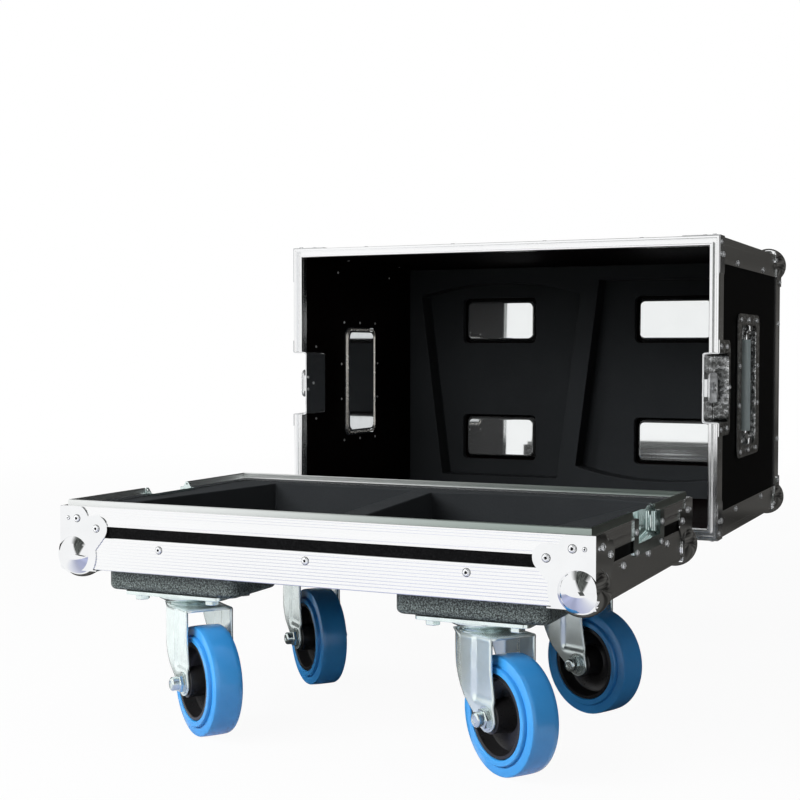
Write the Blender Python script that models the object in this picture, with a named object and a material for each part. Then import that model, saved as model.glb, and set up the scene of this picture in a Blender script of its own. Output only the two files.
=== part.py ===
"""Speaker flight case: a tray on four swivel castors, and a deep cover tipped back behind it, mouth to the front."""

import math

import bmesh
import bpy
from mathutils import Matrix, Vector

# Case body, in metres, measured over the aluminium
LENGTH = 0.642
DEPTH = 0.406
TRAY_HEIGHT = 0.073
COVER_HEIGHT = 0.466
PARTING_GAP = 0.1515
FIT = 0.0003

# Panels and profiles
PLY = 0.0095
ALU = 0.0015
SHEET = 0.0012
ANGLE_LEG = 0.038
ANGLE_FOOT = 0.035
COVER_ANGLE = 0.036
BAND_HEIGHT = 0.022
RIM_WEB = 0.003
RIM_WIDTH = 0.013
COVER_RIM_HEAD = 0.009
COVER_RIM_LEG = 0.030
COVER_RIM_INNER_LEG = 0.0175
TONGUE_INSET = 0.005
TONGUE_WIDTH = 0.003
TONGUE_HEIGHT = 0.0065
GROOVE_CLEARANCE = 0.0007

# Foam and its two speaker nests
TRAY_NEST_DEPTH = 0.045
COVER_FOAM_DEPTH = 0.0525
COVER_NEST_DEPTH = 0.038
NEST_CENTRE = 0.1415
NEST_WIDE = 0.290
NEST_NARROW = 0.210
NEST_WIDE_END = 0.145
NEST_NARROW_END = 0.167
NEST_BULGE = 0.021
NEST_ARC_STEPS = 8
CUP_WINDOW_MARGIN = 0.006

# Castor cups in the cover's top
CUP_INSET_X = 0.166
CUP_INSET_Y = 0.101
CUP_LENGTH = 0.123
CUP_WIDTH = 0.066
CUP_DEPTH = 0.018
CUP_DRAFT = 0.003
CUP_FLANGE = 0.013
CUP_CORNER = 0.010

# Latches and their keepers, one at the middle of each end
LATCH_WIDTH = 0.092
LATCH_DEPTH = 0.020
LATCH_RISE = 0.062
LATCH_FLANGE = 0.0185
LATCH_FLANGE_TOP = 0.009
KEEPER_DROP = 0.028
KEEPER_FLANGE_DROP = 0.040
KEEPER_EAR_RISE = 0.007
KEEPER_EAR_WIDTH = 0.012
STRIKER_WIDTH = 0.030
STRIKER_REACH = 0.007
STRIKER_THICK = 0.006
STRIKER_RISE = 0.006
WING_HEIGHT = 0.026
WING_LENGTH = 0.049
WING_WIDTH = 0.041
WING_THICK = 0.0025
WING_INSET = 0.0125
WING_BOSS_RADIUS = 0.0075
WING_BOSS_LENGTH = 0.0045
HOOK_WIDTH = 0.024
HOOK_THICK = 0.0022
HOOK_LIP = 0.003
HOOK_BOTTOM = 0.002
HOOK_TOP = 0.034
HOOK_TRAVEL = 0.012
PIVOT_RADIUS = 0.003
PIVOT_HEAD_RADIUS = 0.0048
PIVOT_HEAD = 0.0015
RUNNING_FIT = 0.0004

# Sprung handles, one in each end of the cover
HANDLE_HEIGHT = 0.203
HANDLE_PLATE_TALL = 0.160
HANDLE_PLATE_WIDE = 0.206
HANDLE_RECESS_TALL = 0.107
HANDLE_RECESS_WIDE = 0.172
HANDLE_RECESS_DEPTH = 0.014
HANDLE_CORNER = 0.012
BAIL_PIVOT_ABOVE = 0.038
BAIL_GRIP_BELOW = 0.013
BAIL_INSET = 0.0055
BAIL_ROD = 0.0038
BAIL_HALF_WIDTH = 0.0755
BAIL_BEND = 0.008
BAIL_PIN_END = 0.0845
GRIP_RADIUS = 0.0068
GRIP_HALF_LENGTH = 0.066
LUG_INNER = 0.0805
LUG_TALL = 0.012
LUG_INSET = 0.0008

# Ball corners
BALL_CENTRE = 0.0165
BALL_PROUD = 0.0115
BALL_TIP = 0.0005
TRAY_PLATE_LOBE = 0.0148
TRAY_PLATE_WAIST = 0.0038
TRAY_RIVET_LOW = (0.0495, 0.0485)
TRAY_RIVET_HIGH = (0.0225, 0.059)
CORNER_FOOT_REACH = 0.049
COVER_PLATE_REACH = 0.050
COVER_PLATE_END = 0.016
COVER_PLATE_CROOK = 0.0385
BALL_RINGS = 12

# Castors
PAD_THICK = 0.0235
PAD_LENGTH = 0.172
PAD_DEPTH = 0.100
PAD_CORNER = 0.006
CASTOR_INSET_X = 0.138
CASTOR_INSET_Y = 0.0645
CASTOR_HEIGHT = 0.1615
PLATE_LENGTH = 0.128
PLATE_WIDTH = 0.096
PLATE_THICK = 0.004
PLATE_CORNER = 0.008
BOLT_X = 0.047
BOLT_Y = 0.034
BOLT_RADIUS = 0.0085
BOLT_HEAD = 0.0065
RACE_RADIUS = 0.041
RACE_FOOT_RADIUS = 0.031
RACE_DROP = 0.009
NECK_RADIUS = 0.027
NECK_DROP = 0.003
KINGPIN_RADIUS = 0.009
KINGPIN_TAIL = 0.005
KINGPIN_NUT = 0.012
FORK_STEEL = 0.003
FORK_WIDTH = 0.062
FORK_REAR = 0.026
FORK_FRONT = 0.049
TRAIL = 0.0445
FORK_SWEEP = ((-0.58, 0.15), (-0.42, 0.42), (0.08, 0.81), (0.43, 0.965))
FORK_TOE = 0.014
WHEEL_DIAMETER = 0.125
TREAD_WIDTH = 0.033
TREAD_SHOULDER = 0.0025
STEP_RADIUS = 0.051
STEP_WIDTH = 0.041
RIM_RADIUS = 0.0438
RIM_BARREL = 0.0395
WEB_THICK = 0.007
HUB_RADIUS = 0.0175
HUB_LENGTH = 0.055
AXLE_RADIUS = 0.006
AXLE_HEX = 0.0105
AXLE_HEX_THICK = 0.006
AXLE_CAP_RADIUS = 0.0078
AXLE_TAIL = 0.008
WHEEL_STEPS = 32
SMALL_STEPS = 12

# Which way each castor trails, as the angle from +X towards the front
CASTOR_TURNS = {
    "front_left": 35.5,
    "front_right": 34.5,
    "back_left": 41.5,
    "back_right": 24.8,
}

# Levels worked out from the sizes above; z = 0 is the underside of the ply floor
EDGE_BOTTOM = -(ALU + FIT)
SHOULDER = EDGE_BOTTOM + TRAY_HEIGHT
PANEL_INSET = ALU + FIT
HALF_LENGTH = LENGTH / 2
HALF_DEPTH = DEPTH / 2
INNER_X = HALF_LENGTH - PANEL_INSET - PLY - FIT
INNER_Y = HALF_DEPTH - PANEL_INSET - PLY - FIT
TRAY_WALL_TOP = SHOULDER - RIM_WEB - FIT
COVER_TOP_INSIDE = COVER_HEIGHT - PANEL_INSET - PLY
PAD_TOP = EDGE_BOTTOM - FIT
PAD_BOTTOM = PAD_TOP - PAD_THICK
LATCH_POCKET = LATCH_WIDTH / 2 + SHEET + FIT
WHEEL_RADIUS = WHEEL_DIAMETER / 2
COVER_CENTRE_Z = EDGE_BOTTOM + HALF_DEPTH
CASTOR_X = HALF_LENGTH - CASTOR_INSET_X
CASTOR_Y = HALF_DEPTH - CASTOR_INSET_Y
CUP_X = HALF_LENGTH - CUP_INSET_X
CUP_Y = HALF_DEPTH - CUP_INSET_Y
ENDS = {"right": 1, "left": -1}


def material(name, colour, roughness, metallic=0.0):
    made = bpy.data.materials.new(name)
    made.use_nodes = True
    shader = made.node_tree.nodes["Principled BSDF"]
    shader.inputs["Base Color"].default_value = (*colour, 1)
    shader.inputs["Roughness"].default_value = roughness
    shader.inputs["Metallic"].default_value = metallic
    made.diffuse_color = (*colour, 1)
    return made


def clear_scene():
    for thing in list(bpy.data.objects):
        bpy.data.objects.remove(thing, do_unlink=True)


def skin(name, rings, closed=False):
    """A mesh through rings of points. Open ends are capped; closed joins the last ring to the first."""
    bm = bmesh.new()
    rows = [[bm.verts.new(point) for point in ring] for ring in rings]
    pairs = list(zip(rows, rows[1:]))
    if closed:
        pairs.append((rows[-1], rows[0]))
    else:
        bm.faces.new(rows[0])
        bm.faces.new(rows[-1])
    for first, second in pairs:
        for here in range(len(first)):
            there = (here + 1) % len(first)
            bm.faces.new((first[here], first[there], second[there], second[here]))
    bmesh.ops.recalc_face_normals(bm, faces=bm.faces)
    mesh = bpy.data.meshes.new(name)
    bm.to_mesh(mesh)
    bm.free()
    return mesh


def place(name, mesh, finish=None, parent=None, location=(0, 0, 0), mirrored=False, smooth=None):
    """The object that shows a mesh. A mirrored one is turned over in X."""
    thing = bpy.data.objects.new(name, mesh)
    bpy.context.scene.collection.objects.link(thing)
    thing.parent = parent
    thing.location = location
    if mirrored:
        thing.scale.x = -1
    if finish and not mesh.materials:
        mesh.materials.append(finish)
    if smooth:
        mesh.shade_smooth()
        mesh.set_sharp_from_angle(angle=math.radians(smooth))
    return thing


def empty(name, parent=None, location=(0, 0, 0), turn=(0, 0, 0)):
    thing = bpy.data.objects.new(name, None)
    bpy.context.scene.collection.objects.link(thing)
    thing.parent = parent
    thing.location = location
    thing.rotation_euler = turn
    return thing


def shaped(mesh, *steps):
    """A mesh after Booleans with other meshes, each step a pair of an operation and a mesh."""
    body = bpy.data.objects.new(mesh.name, mesh)
    bpy.context.scene.collection.objects.link(body)
    tools = []
    for operation, other in steps:
        tool = bpy.data.objects.new(other.name, other)
        bpy.context.scene.collection.objects.link(tool)
        tool.hide_render = True
        tool.display_type = "WIRE"
        tools.append(tool)
        change = body.modifiers.new(operation.title(), "BOOLEAN")
        change.operation = operation
        change.object = tool
        change.solver = "EXACT"
    graph = bpy.context.evaluated_depsgraph_get()
    result = bpy.data.meshes.new_from_object(body.evaluated_get(graph))
    result.name = mesh.name
    for thing in [body, *tools]:
        bpy.data.objects.remove(thing)
    return result


def cut(mesh, *others):
    return shaped(mesh, *(("DIFFERENCE", other) for other in others))


def fused(mesh, *others):
    return shaped(mesh, *(("UNION", other) for other in others))


def box(name, low, high):
    ring = [(low[0], low[1]), (high[0], low[1]), (high[0], high[1]), (low[0], high[1])]
    return skin(name, [[(x, y, z) for x, y in ring] for z in (low[2], high[2])])


def rounded(half_x, half_y, radius, centre=(0, 0), steps=3):
    """Outline of a rectangle with round corners, anticlockwise."""
    points = []
    for quarter, (sx, sy) in enumerate(((1, 1), (-1, 1), (-1, -1), (1, -1))):
        for step in range(steps + 1):
            angle = math.pi / 2 * (quarter + step / steps)
            points.append(
                (
                    centre[0] + sx * (half_x - radius) + radius * math.cos(angle),
                    centre[1] + sy * (half_y - radius) + radius * math.sin(angle),
                )
            )
    return points


def arc(centre, radius, start, end, steps):
    """Points on an arc, angles in degrees."""
    turns = [math.radians(start + (end - start) * step / steps) for step in range(steps + 1)]
    return [(centre[0] + radius * math.cos(turn), centre[1] + radius * math.sin(turn)) for turn in turns]


def slab(name, outline, low, high):
    """An outline in X and Y, extruded from one height to another."""
    return skin(name, [[(x, y, z) for x, y in outline] for z in (low, high)])


def end_slab(name, outline, near, far):
    """An outline in Y and Z, extruded along X."""
    return skin(name, [[(x, y, z) for y, z in outline] for x in (near, far)])


def frame_mesh(name, profile):
    """A mitred frame round the case. The profile's points are distance in from the outer face, and height."""
    rings = []
    for inset, height in profile:
        x, y = HALF_LENGTH - inset, HALF_DEPTH - inset
        rings.append([(x, y, height), (-x, y, height), (-x, -y, height), (x, -y, height)])
    return skin(name, rings, closed=True)


def turned(name, profile, steps, closed=False, axis="Z"):
    """A body turned about an axis. The profile's points are radius and distance along the axis."""
    rings = []
    for radius, along in profile:
        ring = []
        for step in range(steps):
            angle = math.tau * step / steps
            across, up = radius * math.cos(angle), radius * math.sin(angle)
            ring.append(
                {"X": (along, across, up), "Y": (across, along, up), "Z": (across, up, along)}[axis]
            )
        rings.append(ring)
    return skin(name, rings, closed)


def tray_edges():
    profile = [
        (0, 0),
        (0, ANGLE_LEG),
        (ALU, ANGLE_LEG),
        (ALU, ALU),
        (ANGLE_FOOT, ALU),
        (ANGLE_FOOT, 0),
    ]
    return frame_mesh("tray_edges", [(inset, EDGE_BOTTOM + height) for inset, height in profile])


def keeper_pockets(name):
    """Cutters for the keeper dishes in both ends of the tray."""
    inner = HALF_LENGTH - LATCH_DEPTH - SHEET - FIT
    bottom = SHOULDER - KEEPER_DROP - SHEET - FIT
    return [
        box(
            name,
            (min(side * inner, side * LENGTH), -LATCH_POCKET, bottom),
            (max(side * inner, side * LENGTH), LATCH_POCKET, LENGTH),
        )
        for side in (-1, 1)
    ]


def tray_walls():
    low = PLY + FIT
    outer, inner = PANEL_INSET, PANEL_INSET + PLY
    profile = [(outer, low), (outer, TRAY_WALL_TOP), (inner, TRAY_WALL_TOP), (inner, low)]
    return cut(frame_mesh("tray_walls", profile), *keeper_pockets("keeper_pocket"))


def tray_rim(name, side):
    """Half of the upper band: its flange, the web over the ply and the tongue. The keepers part it from the other."""
    band_bottom = SHOULDER - BAND_HEIGHT
    web_bottom = SHOULDER - RIM_WEB
    tongue_in = TONGUE_INSET + TONGUE_WIDTH
    lip_in = PANEL_INSET + PLY + FIT + ALU
    profile = [
        (0, band_bottom),
        (0, SHOULDER),
        (TONGUE_INSET, SHOULDER),
        (TONGUE_INSET, SHOULDER + TONGUE_HEIGHT),
        (tongue_in, SHOULDER + TONGUE_HEIGHT),
        (tongue_in, SHOULDER),
        (lip_in, SHOULDER),
        (lip_in, web_bottom),
        (ALU, web_bottom),
        (ALU, band_bottom),
    ]
    near, far = sorted((-side * DEPTH, side * LATCH_POCKET))
    cutter = box("rim_cutter", (-LENGTH, near, -DEPTH), (LENGTH, far, DEPTH))
    return cut(frame_mesh(name, profile), cutter)


def nest_outline(side):
    """One nest's plan: narrow and square at one end, wide and bowed at the other. The two lie head to tail."""
    wide, narrow = NEST_WIDE / 2, NEST_NARROW / 2
    rise = NEST_BULGE
    radius = (wide**2 + rise**2) / (2 * rise)
    spread = math.degrees(math.asin(wide / radius))
    bow = arc((0, radius - NEST_WIDE_END - rise), radius, 270 - spread, 270 + spread, NEST_ARC_STEPS)
    outline = [*bow, (narrow, NEST_NARROW_END), (-narrow, NEST_NARROW_END)]
    return [(-side * NEST_CENTRE + side * x, side * y) for x, y in outline]


def tray_foam():
    top = SHOULDER - RIM_WEB - FIT
    bottom = PLY + FIT
    x, y = INNER_X - FIT, INNER_Y - FIT
    block = box("tray_foam", (-x, -y, bottom), (x, y, top))
    nests = [slab("nest", nest_outline(side), top - TRAY_NEST_DEPTH, LENGTH) for side in (1, -1)]
    return cut(block, *nests, *keeper_pockets("keeper_pocket"))


def dish_plate(outline, near):
    """A pressed flange on the outside of an end wall."""
    return end_slab("dish_plate", outline, near, near + SHEET)


def keeper():
    """The right-hand keeper: a dish open at the top, with flanges, two ears and a striker for the hook."""
    face = HALF_LENGTH + FIT
    half = LATCH_WIDTH / 2
    bottom = SHOULDER - KEEPER_DROP
    floor = HALF_LENGTH - LATCH_DEPTH
    flange = half + LATCH_FLANGE
    outline = [
        (-flange, SHOULDER - KEEPER_FLANGE_DROP),
        (flange, SHOULDER - KEEPER_FLANGE_DROP),
        (flange, SHOULDER - FIT),
        (-flange, SHOULDER - FIT),
    ]
    shell = box(
        "keeper_shell",
        (floor - SHEET, -half - SHEET, bottom - SHEET),
        (face + SHEET / 2, half + SHEET, SHOULDER - FIT),
    )
    ears = []
    middle = (floor + face) / 2
    low, high = bottom - SHEET / 2, SHOULDER + KEEPER_EAR_RISE
    root = SHOULDER - SHEET
    wide, tip = KEEPER_EAR_WIDTH / 2, KEEPER_EAR_WIDTH / 8
    foot = [(middle - wide, low), (middle + wide, low), (middle + wide, root), (middle - wide, root)]
    blade = [*foot[:2], (middle + wide, SHOULDER), (middle + tip, high), (middle - tip, high), (middle - wide, SHOULDER)]
    for side in (-1, 1):
        near, far = side * (half - SHEET - FIT), side * (half - FIT)
        ears.append(skin("ear_foot", [[(x, y, z) for x, z in foot] for y in (near, side * (half + SHEET / 2))]))
        ears.append(skin("ear", [[(x, y, z) for x, z in blade] for y in (near + side * FIT / 2, far)]))
    hollow = box("keeper_hollow", (floor, -half, bottom), (LENGTH, half, LENGTH))
    striker = box(
        "striker",
        (floor - SHEET / 2, -STRIKER_WIDTH / 2, bottom + STRIKER_RISE),
        (floor + STRIKER_REACH, STRIKER_WIDTH / 2, bottom + STRIKER_RISE + STRIKER_THICK),
    )
    dish = shaped(
        shell,
        ("UNION", dish_plate(outline, face)),
        ("DIFFERENCE", hollow),
        *(("UNION", ear) for ear in ears),
        ("UNION", striker),
    )
    dish.name = "keeper"
    return dish


def latch_dish():
    """The right-hand latch dish, open at the cover's mouth, with the fixed pin that its wing turns on."""
    face = HALF_LENGTH + FIT
    half = LATCH_WIDTH / 2
    floor = HALF_LENGTH - LATCH_DEPTH
    flange = half + LATCH_FLANGE
    top = LATCH_RISE + LATCH_FLANGE_TOP
    corner = LATCH_FLANGE / 2
    outline = [
        (-flange, FIT),
        (flange, FIT),
        *arc((flange - corner, top - corner), corner, 0, 90, 3),
        *arc((corner - flange, top - corner), corner, 90, 180, 3),
    ]
    shell = box(
        "latch_shell",
        (floor - SHEET, -half - SHEET, FIT),
        (face + SHEET / 2, half + SHEET, LATCH_RISE + SHEET),
    )
    hollow = box("latch_hollow", (floor, -half, -LENGTH), (LENGTH, half, LATCH_RISE))
    wing_x = HALF_LENGTH - WING_INSET
    head = wing_x + WING_BOSS_LENGTH / 2 + FIT
    pin = turned(
        "latch_pin",
        [
            (PIVOT_RADIUS, floor - SHEET / 2),
            (PIVOT_RADIUS, head),
            (PIVOT_HEAD_RADIUS, head),
            (PIVOT_HEAD_RADIUS, head + PIVOT_HEAD),
        ],
        SMALL_STEPS,
        axis="X",
    )
    pin.transform(Matrix.Translation((0, 0, WING_HEIGHT)))
    dish = shaped(
        shell,
        ("UNION", dish_plate(outline, face)),
        ("DIFFERENCE", hollow),
        ("UNION", pin),
    )
    dish.name = "latch_dish"
    return dish


def latch_wing():
    """The wing about its own axis: two open loops on a boss, with the pin's bore through it."""
    half_long, half_wide = WING_LENGTH / 2, WING_WIDTH / 2
    margin = WING_THICK * 1.6
    plate = end_slab(
        "wing_plate",
        rounded(half_wide, half_long, margin * 1.5),
        -WING_THICK / 2,
        WING_THICK / 2,
    )
    windows = []
    bar = WING_BOSS_RADIUS + margin / 2
    for side in (-1, 1):
        centre = (0, side * (bar + half_long - margin) / 2)
        tall = (half_long - margin - bar) / 2
        windows.append(
            end_slab("wing_window", rounded(half_wide - margin, tall, margin, centre, 2), -DEPTH, DEPTH)
        )
    boss = turned(
        "wing_boss",
        [(WING_BOSS_RADIUS, -WING_BOSS_LENGTH / 2), (WING_BOSS_RADIUS, WING_BOSS_LENGTH / 2)],
        SMALL_STEPS,
        axis="X",
    )
    bore_radius = PIVOT_RADIUS + RUNNING_FIT
    bore = turned("wing_bore", [(bore_radius, -DEPTH), (bore_radius, DEPTH)], SMALL_STEPS, axis="X")
    wing = shaped(
        plate,
        ("DIFFERENCE", windows[0]),
        ("DIFFERENCE", windows[1]),
        ("UNION", boss),
        ("DIFFERENCE", bore),
    )
    wing.name = "latch_wing"
    return wing


def latch_hook():
    """The draw hook that slides behind the wing: a slotted plate with a lip turned in towards the striker."""
    floor = HALF_LENGTH - LATCH_DEPTH
    near = floor + RUNNING_FIT
    half = HOOK_WIDTH / 2
    plate = box("hook_plate", (near, -half, HOOK_BOTTOM), (near + HOOK_THICK, half, HOOK_TOP + HOOK_TRAVEL))
    lip = box(
        "hook_lip",
        (near + HOOK_THICK / 2, -half, HOOK_BOTTOM),
        (near + HOOK_THICK + HOOK_LIP, half, HOOK_BOTTOM + HOOK_THICK),
    )
    slot_half = PIVOT_RADIUS + RUNNING_FIT
    slot = end_slab(
        "hook_slot",
        [
            *arc((0, WING_HEIGHT), slot_half, 180, 360, 6),
            *arc((0, WING_HEIGHT + HOOK_TRAVEL), slot_half, 0, 180, 6),
        ],
        0,
        LENGTH,
    )
    hook = shaped(plate, ("UNION", lip), ("DIFFERENCE", slot))
    hook.name = "latch_hook"
    return hook


def latch_pockets(name):
    """Cutters for the latch dishes in both ends of the cover."""
    inner = HALF_LENGTH - LATCH_DEPTH - SHEET - FIT
    top = LATCH_RISE + SHEET + FIT
    return [
        box(
            name,
            (min(side * inner, side * LENGTH), -LATCH_POCKET, -DEPTH),
            (max(side * inner, side * LENGTH), LATCH_POCKET, top),
        )
        for side in (-1, 1)
    ]


def handle_pockets(name):
    """Cutters for the handle dishes in both end walls."""
    margin = SHEET + FIT
    outline = rounded(
        HANDLE_RECESS_WIDE / 2 + margin,
        HANDLE_RECESS_TALL / 2 + margin,
        HANDLE_CORNER,
        (0, HANDLE_HEIGHT),
    )
    inner = HALF_LENGTH - HANDLE_RECESS_DEPTH - SHEET - FIT
    return [end_slab(name, outline, side * inner, side * LENGTH) for side in (-1, 1)]


def handle_dish():
    """The right-hand handle dish: flange, recess and two bored lugs for the bail."""
    face = HALF_LENGTH + FIT
    floor = HALF_LENGTH - HANDLE_RECESS_DEPTH
    centre = (0, HANDLE_HEIGHT)
    wide, tall = HANDLE_RECESS_WIDE / 2, HANDLE_RECESS_TALL / 2

    def ring(x, grow, radius):
        outline = rounded(wide + grow, tall + grow, radius, centre)
        return [(x, y, z) for y, z in outline]

    def plate_ring(x):
        outline = rounded(HANDLE_PLATE_WIDE / 2, HANDLE_PLATE_TALL / 2, HANDLE_CORNER, centre)
        return [(x, y, z) for y, z in outline]

    inner_corner = HANDLE_CORNER - SHEET
    dish = skin(
        "handle_dish",
        [
            ring(floor, 0, inner_corner),
            ring(face + SHEET, 0, inner_corner),
            plate_ring(face + SHEET),
            plate_ring(face),
            ring(face, SHEET, HANDLE_CORNER),
            ring(floor - SHEET, SHEET, HANDLE_CORNER),
        ],
    )
    lugs = []
    pivot = HANDLE_HEIGHT + BAIL_PIVOT_ABOVE
    for side in (-1, 1):
        inner, outer = sorted((side * LUG_INNER, side * (wide + SHEET / 2)))
        lugs.append(
            box(
                "handle_lug",
                (floor - SHEET / 2, inner, pivot - LUG_TALL / 2),
                (HALF_LENGTH - LUG_INSET, outer, pivot + LUG_TALL / 2),
            )
        )
    bore_radius = BAIL_ROD + RUNNING_FIT
    end = BAIL_PIN_END + RUNNING_FIT
    bore = turned("lug_bore", [(bore_radius, -end), (bore_radius, end)], SMALL_STEPS, axis="Y")
    bore.transform(Matrix.Translation((HALF_LENGTH - BAIL_INSET, 0, pivot)))
    result = shaped(dish, ("UNION", lugs[0]), ("UNION", lugs[1]), ("DIFFERENCE", bore))
    result.name = "handle_dish"
    return result


def handle_bail():
    """The bail about its own pivot: a bent rod with its grip, lying in the YZ plane below the axis."""
    drop = BAIL_PIVOT_ABOVE + BAIL_GRIP_BELOW
    top, side = BAIL_BEND, BAIL_HALF_WIDTH
    half = [(-BAIL_PIN_END, 0, BAIL_ROD)]
    half += [(y, z, BAIL_ROD) for y, z in arc((-side - top / 2, -top / 2), top / 2, 90, 0, 2)]
    half += [(y, z, BAIL_ROD) for y, z in arc((top - side, top - drop), top, 180, 260, 3)]
    half += [(-GRIP_HALF_LENGTH, -drop, BAIL_ROD), (-GRIP_HALF_LENGTH, -drop, GRIP_RADIUS)]
    half += [(-GRIP_HALF_LENGTH / 3, -drop, GRIP_RADIUS)]
    path = half + [(-y, z, radius) for y, z, radius in reversed(half)]
    rings = []
    for place_on, (y, z, radius) in enumerate(path):
        before = path[max(place_on - 1, 0)]
        after = path[min(place_on + 1, len(path) - 1)]
        along = Vector((0, after[0] - before[0], after[1] - before[1])).normalized()
        if radius != BAIL_ROD or abs(z + drop) < FIT:
            along = Vector((0, 1, 0))
        across = Vector((1, 0, 0))
        up = along.cross(across)
        ring = []
        for step in range(SMALL_STEPS):
            angle = math.tau * step / SMALL_STEPS
            ring.append(Vector((0, y, z)) + radius * (across * math.cos(angle) + up * math.sin(angle)))
        rings.append(ring)
    return skin("handle_bail", rings)


def cover_rim(name, side):
    """Half of the cover's rim: two flanges round the ply, a head and the groove that takes the tray's tongue."""
    groove_out = TONGUE_INSET - GROOVE_CLEARANCE
    groove_in = TONGUE_INSET + TONGUE_WIDTH + GROOVE_CLEARANCE
    groove_top = TONGUE_HEIGHT + GROOVE_CLEARANCE
    inner_leg = PANEL_INSET + PLY + FIT
    profile = [
        (0, 0),
        (0, COVER_RIM_LEG),
        (ALU, COVER_RIM_LEG),
        (ALU, COVER_RIM_HEAD),
        (inner_leg, COVER_RIM_HEAD),
        (inner_leg, COVER_RIM_INNER_LEG),
        (RIM_WIDTH, COVER_RIM_INNER_LEG),
        (RIM_WIDTH, 0),
        (groove_in, 0),
        (groove_in, groove_top),
        (groove_out, groove_top),
        (groove_out, 0),
    ]
    near, far = sorted((-side * DEPTH, side * LATCH_POCKET))
    cutter = box("rim_cutter", (-LENGTH, near, -DEPTH), (LENGTH, far, DEPTH))
    return cut(frame_mesh(name, profile), cutter)


def cover_walls():
    low = COVER_RIM_HEAD + FIT
    outer, inner = PANEL_INSET, PANEL_INSET + PLY
    high = COVER_HEIGHT - PANEL_INSET
    profile = [(outer, low), (outer, high), (inner, high), (inner, low)]
    return cut(
        frame_mesh("cover_walls", profile),
        *latch_pockets("latch_pocket"),
        *handle_pockets("handle_pocket"),
    )


def cup_places():
    return {
        "front_left": (-CUP_X, -CUP_Y),
        "front_right": (CUP_X, -CUP_Y),
        "back_left": (-CUP_X, CUP_Y),
        "back_right": (CUP_X, CUP_Y),
    }


def cover_top():
    x, y = INNER_X, INNER_Y
    panel = box("cover_top", (-x, -y, COVER_TOP_INSIDE), (x, y, COVER_HEIGHT - PANEL_INSET))
    grow = SHEET + FIT + CUP_DRAFT
    holes = [
        slab(
            "cup_hole",
            rounded(CUP_LENGTH / 2 + grow, CUP_WIDTH / 2 + grow, CUP_CORNER, centre),
            0,
            LENGTH,
        )
        for centre in cup_places().values()
    ]
    return cut(panel, *holes)


def cover_edges():
    """Aluminium angle along every edge above the rim, riveted into one frame."""
    low = COVER_RIM_LEG + FIT
    shell = box("cover_edges", (-HALF_LENGTH, -HALF_DEPTH, low), (HALF_LENGTH, HALF_DEPTH, COVER_HEIGHT))
    x, y, z = HALF_LENGTH - ALU, HALF_DEPTH - ALU, COVER_HEIGHT - ALU
    inside = box("inside", (-x, -y, -LENGTH), (x, y, z))
    leg = COVER_ANGLE
    far = LENGTH
    high = COVER_HEIGHT - leg
    return cut(
        shell,
        inside,
        box("window_x", (-far, leg - HALF_DEPTH, -far), (far, HALF_DEPTH - leg, high)),
        box("window_y", (leg - HALF_LENGTH, -far, -far), (HALF_LENGTH - leg, far, high)),
        box("window_z", (leg - HALF_LENGTH, leg - HALF_DEPTH, 0), (HALF_LENGTH - leg, HALF_DEPTH - leg, far)),
    )


def cover_foam():
    top = COVER_TOP_INSIDE - FIT
    face = top - COVER_FOAM_DEPTH
    x, y = INNER_X - FIT, INNER_Y - FIT
    block = box("cover_foam", (-x, -y, face), (x, y, top))
    nests = [slab("nest", nest_outline(side), 0, face + COVER_NEST_DEPTH) for side in (1, -1)]
    margin = CUP_WINDOW_MARGIN
    windows = [
        slab(
            "cup_window",
            rounded(CUP_LENGTH / 2 + margin, CUP_WIDTH / 2 + margin, FIT * 10, centre, 1),
            0,
            LENGTH,
        )
        for centre in cup_places().values()
    ]
    return cut(block, *nests, *windows)


def castor_cup():
    """A pressed cup about its own centre. Its flange lies on the ply of the cover's top."""
    seat = COVER_HEIGHT - PANEL_INSET + FIT
    floor = seat - CUP_DEPTH

    def ring(height, grow):
        radius = CUP_CORNER + min(grow, 0)
        outline = rounded(CUP_LENGTH / 2 + grow, CUP_WIDTH / 2 + grow, radius)
        return [(x, y, height) for x, y in outline]

    return skin(
        "castor_cup",
        [
            ring(floor, -SHEET),
            ring(seat + SHEET, CUP_DRAFT),
            ring(seat + SHEET, CUP_FLANGE),
            ring(seat, CUP_FLANGE),
            ring(seat, CUP_DRAFT + SHEET),
            ring(floor - SHEET, 0),
        ],
    )


def ball_corner(name, outline, floor_outline):
    """A ball corner for the left front lower corner, drawn from the corner of the aluminium at the origin.

    It is one ball and three thin plates that share the corner's edges. The outline is used on both upright faces.
    """
    out = FIT + SHEET
    reach = max(max(point) for point in outline) + out
    ball = ball_at_corner("ball", BALL_CENTRE + BALL_PROUD)
    nose = ball_at_corner("nose", (BALL_CENTRE + FIT) * math.sqrt(3) + BALL_TIP)
    corner = box("corner", (-LENGTH, -LENGTH, -LENGTH), (BALL_CENTRE, BALL_CENTRE, BALL_CENTRE))
    front = skin("front_plate", [[(x, y, z) for x, z in outline] for y in (-out, 0)])
    side = skin("side_plate", [[(x, y, z) for y, z in outline] for x in (-out, 0)])
    floor = skin("floor_plate", [[(x, y, z) for x, y in floor_outline] for z in (-out, 0)])
    block = box("corner_block", (-FIT, -FIT, -FIT), (reach, reach, reach))
    piece = shaped(
        front,
        ("UNION", side),
        ("UNION", floor),
        ("DIFFERENCE", shaped(corner, ("DIFFERENCE", nose))),
        ("UNION", ball),
        ("DIFFERENCE", block),
    )
    piece.name = name
    return piece


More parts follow.
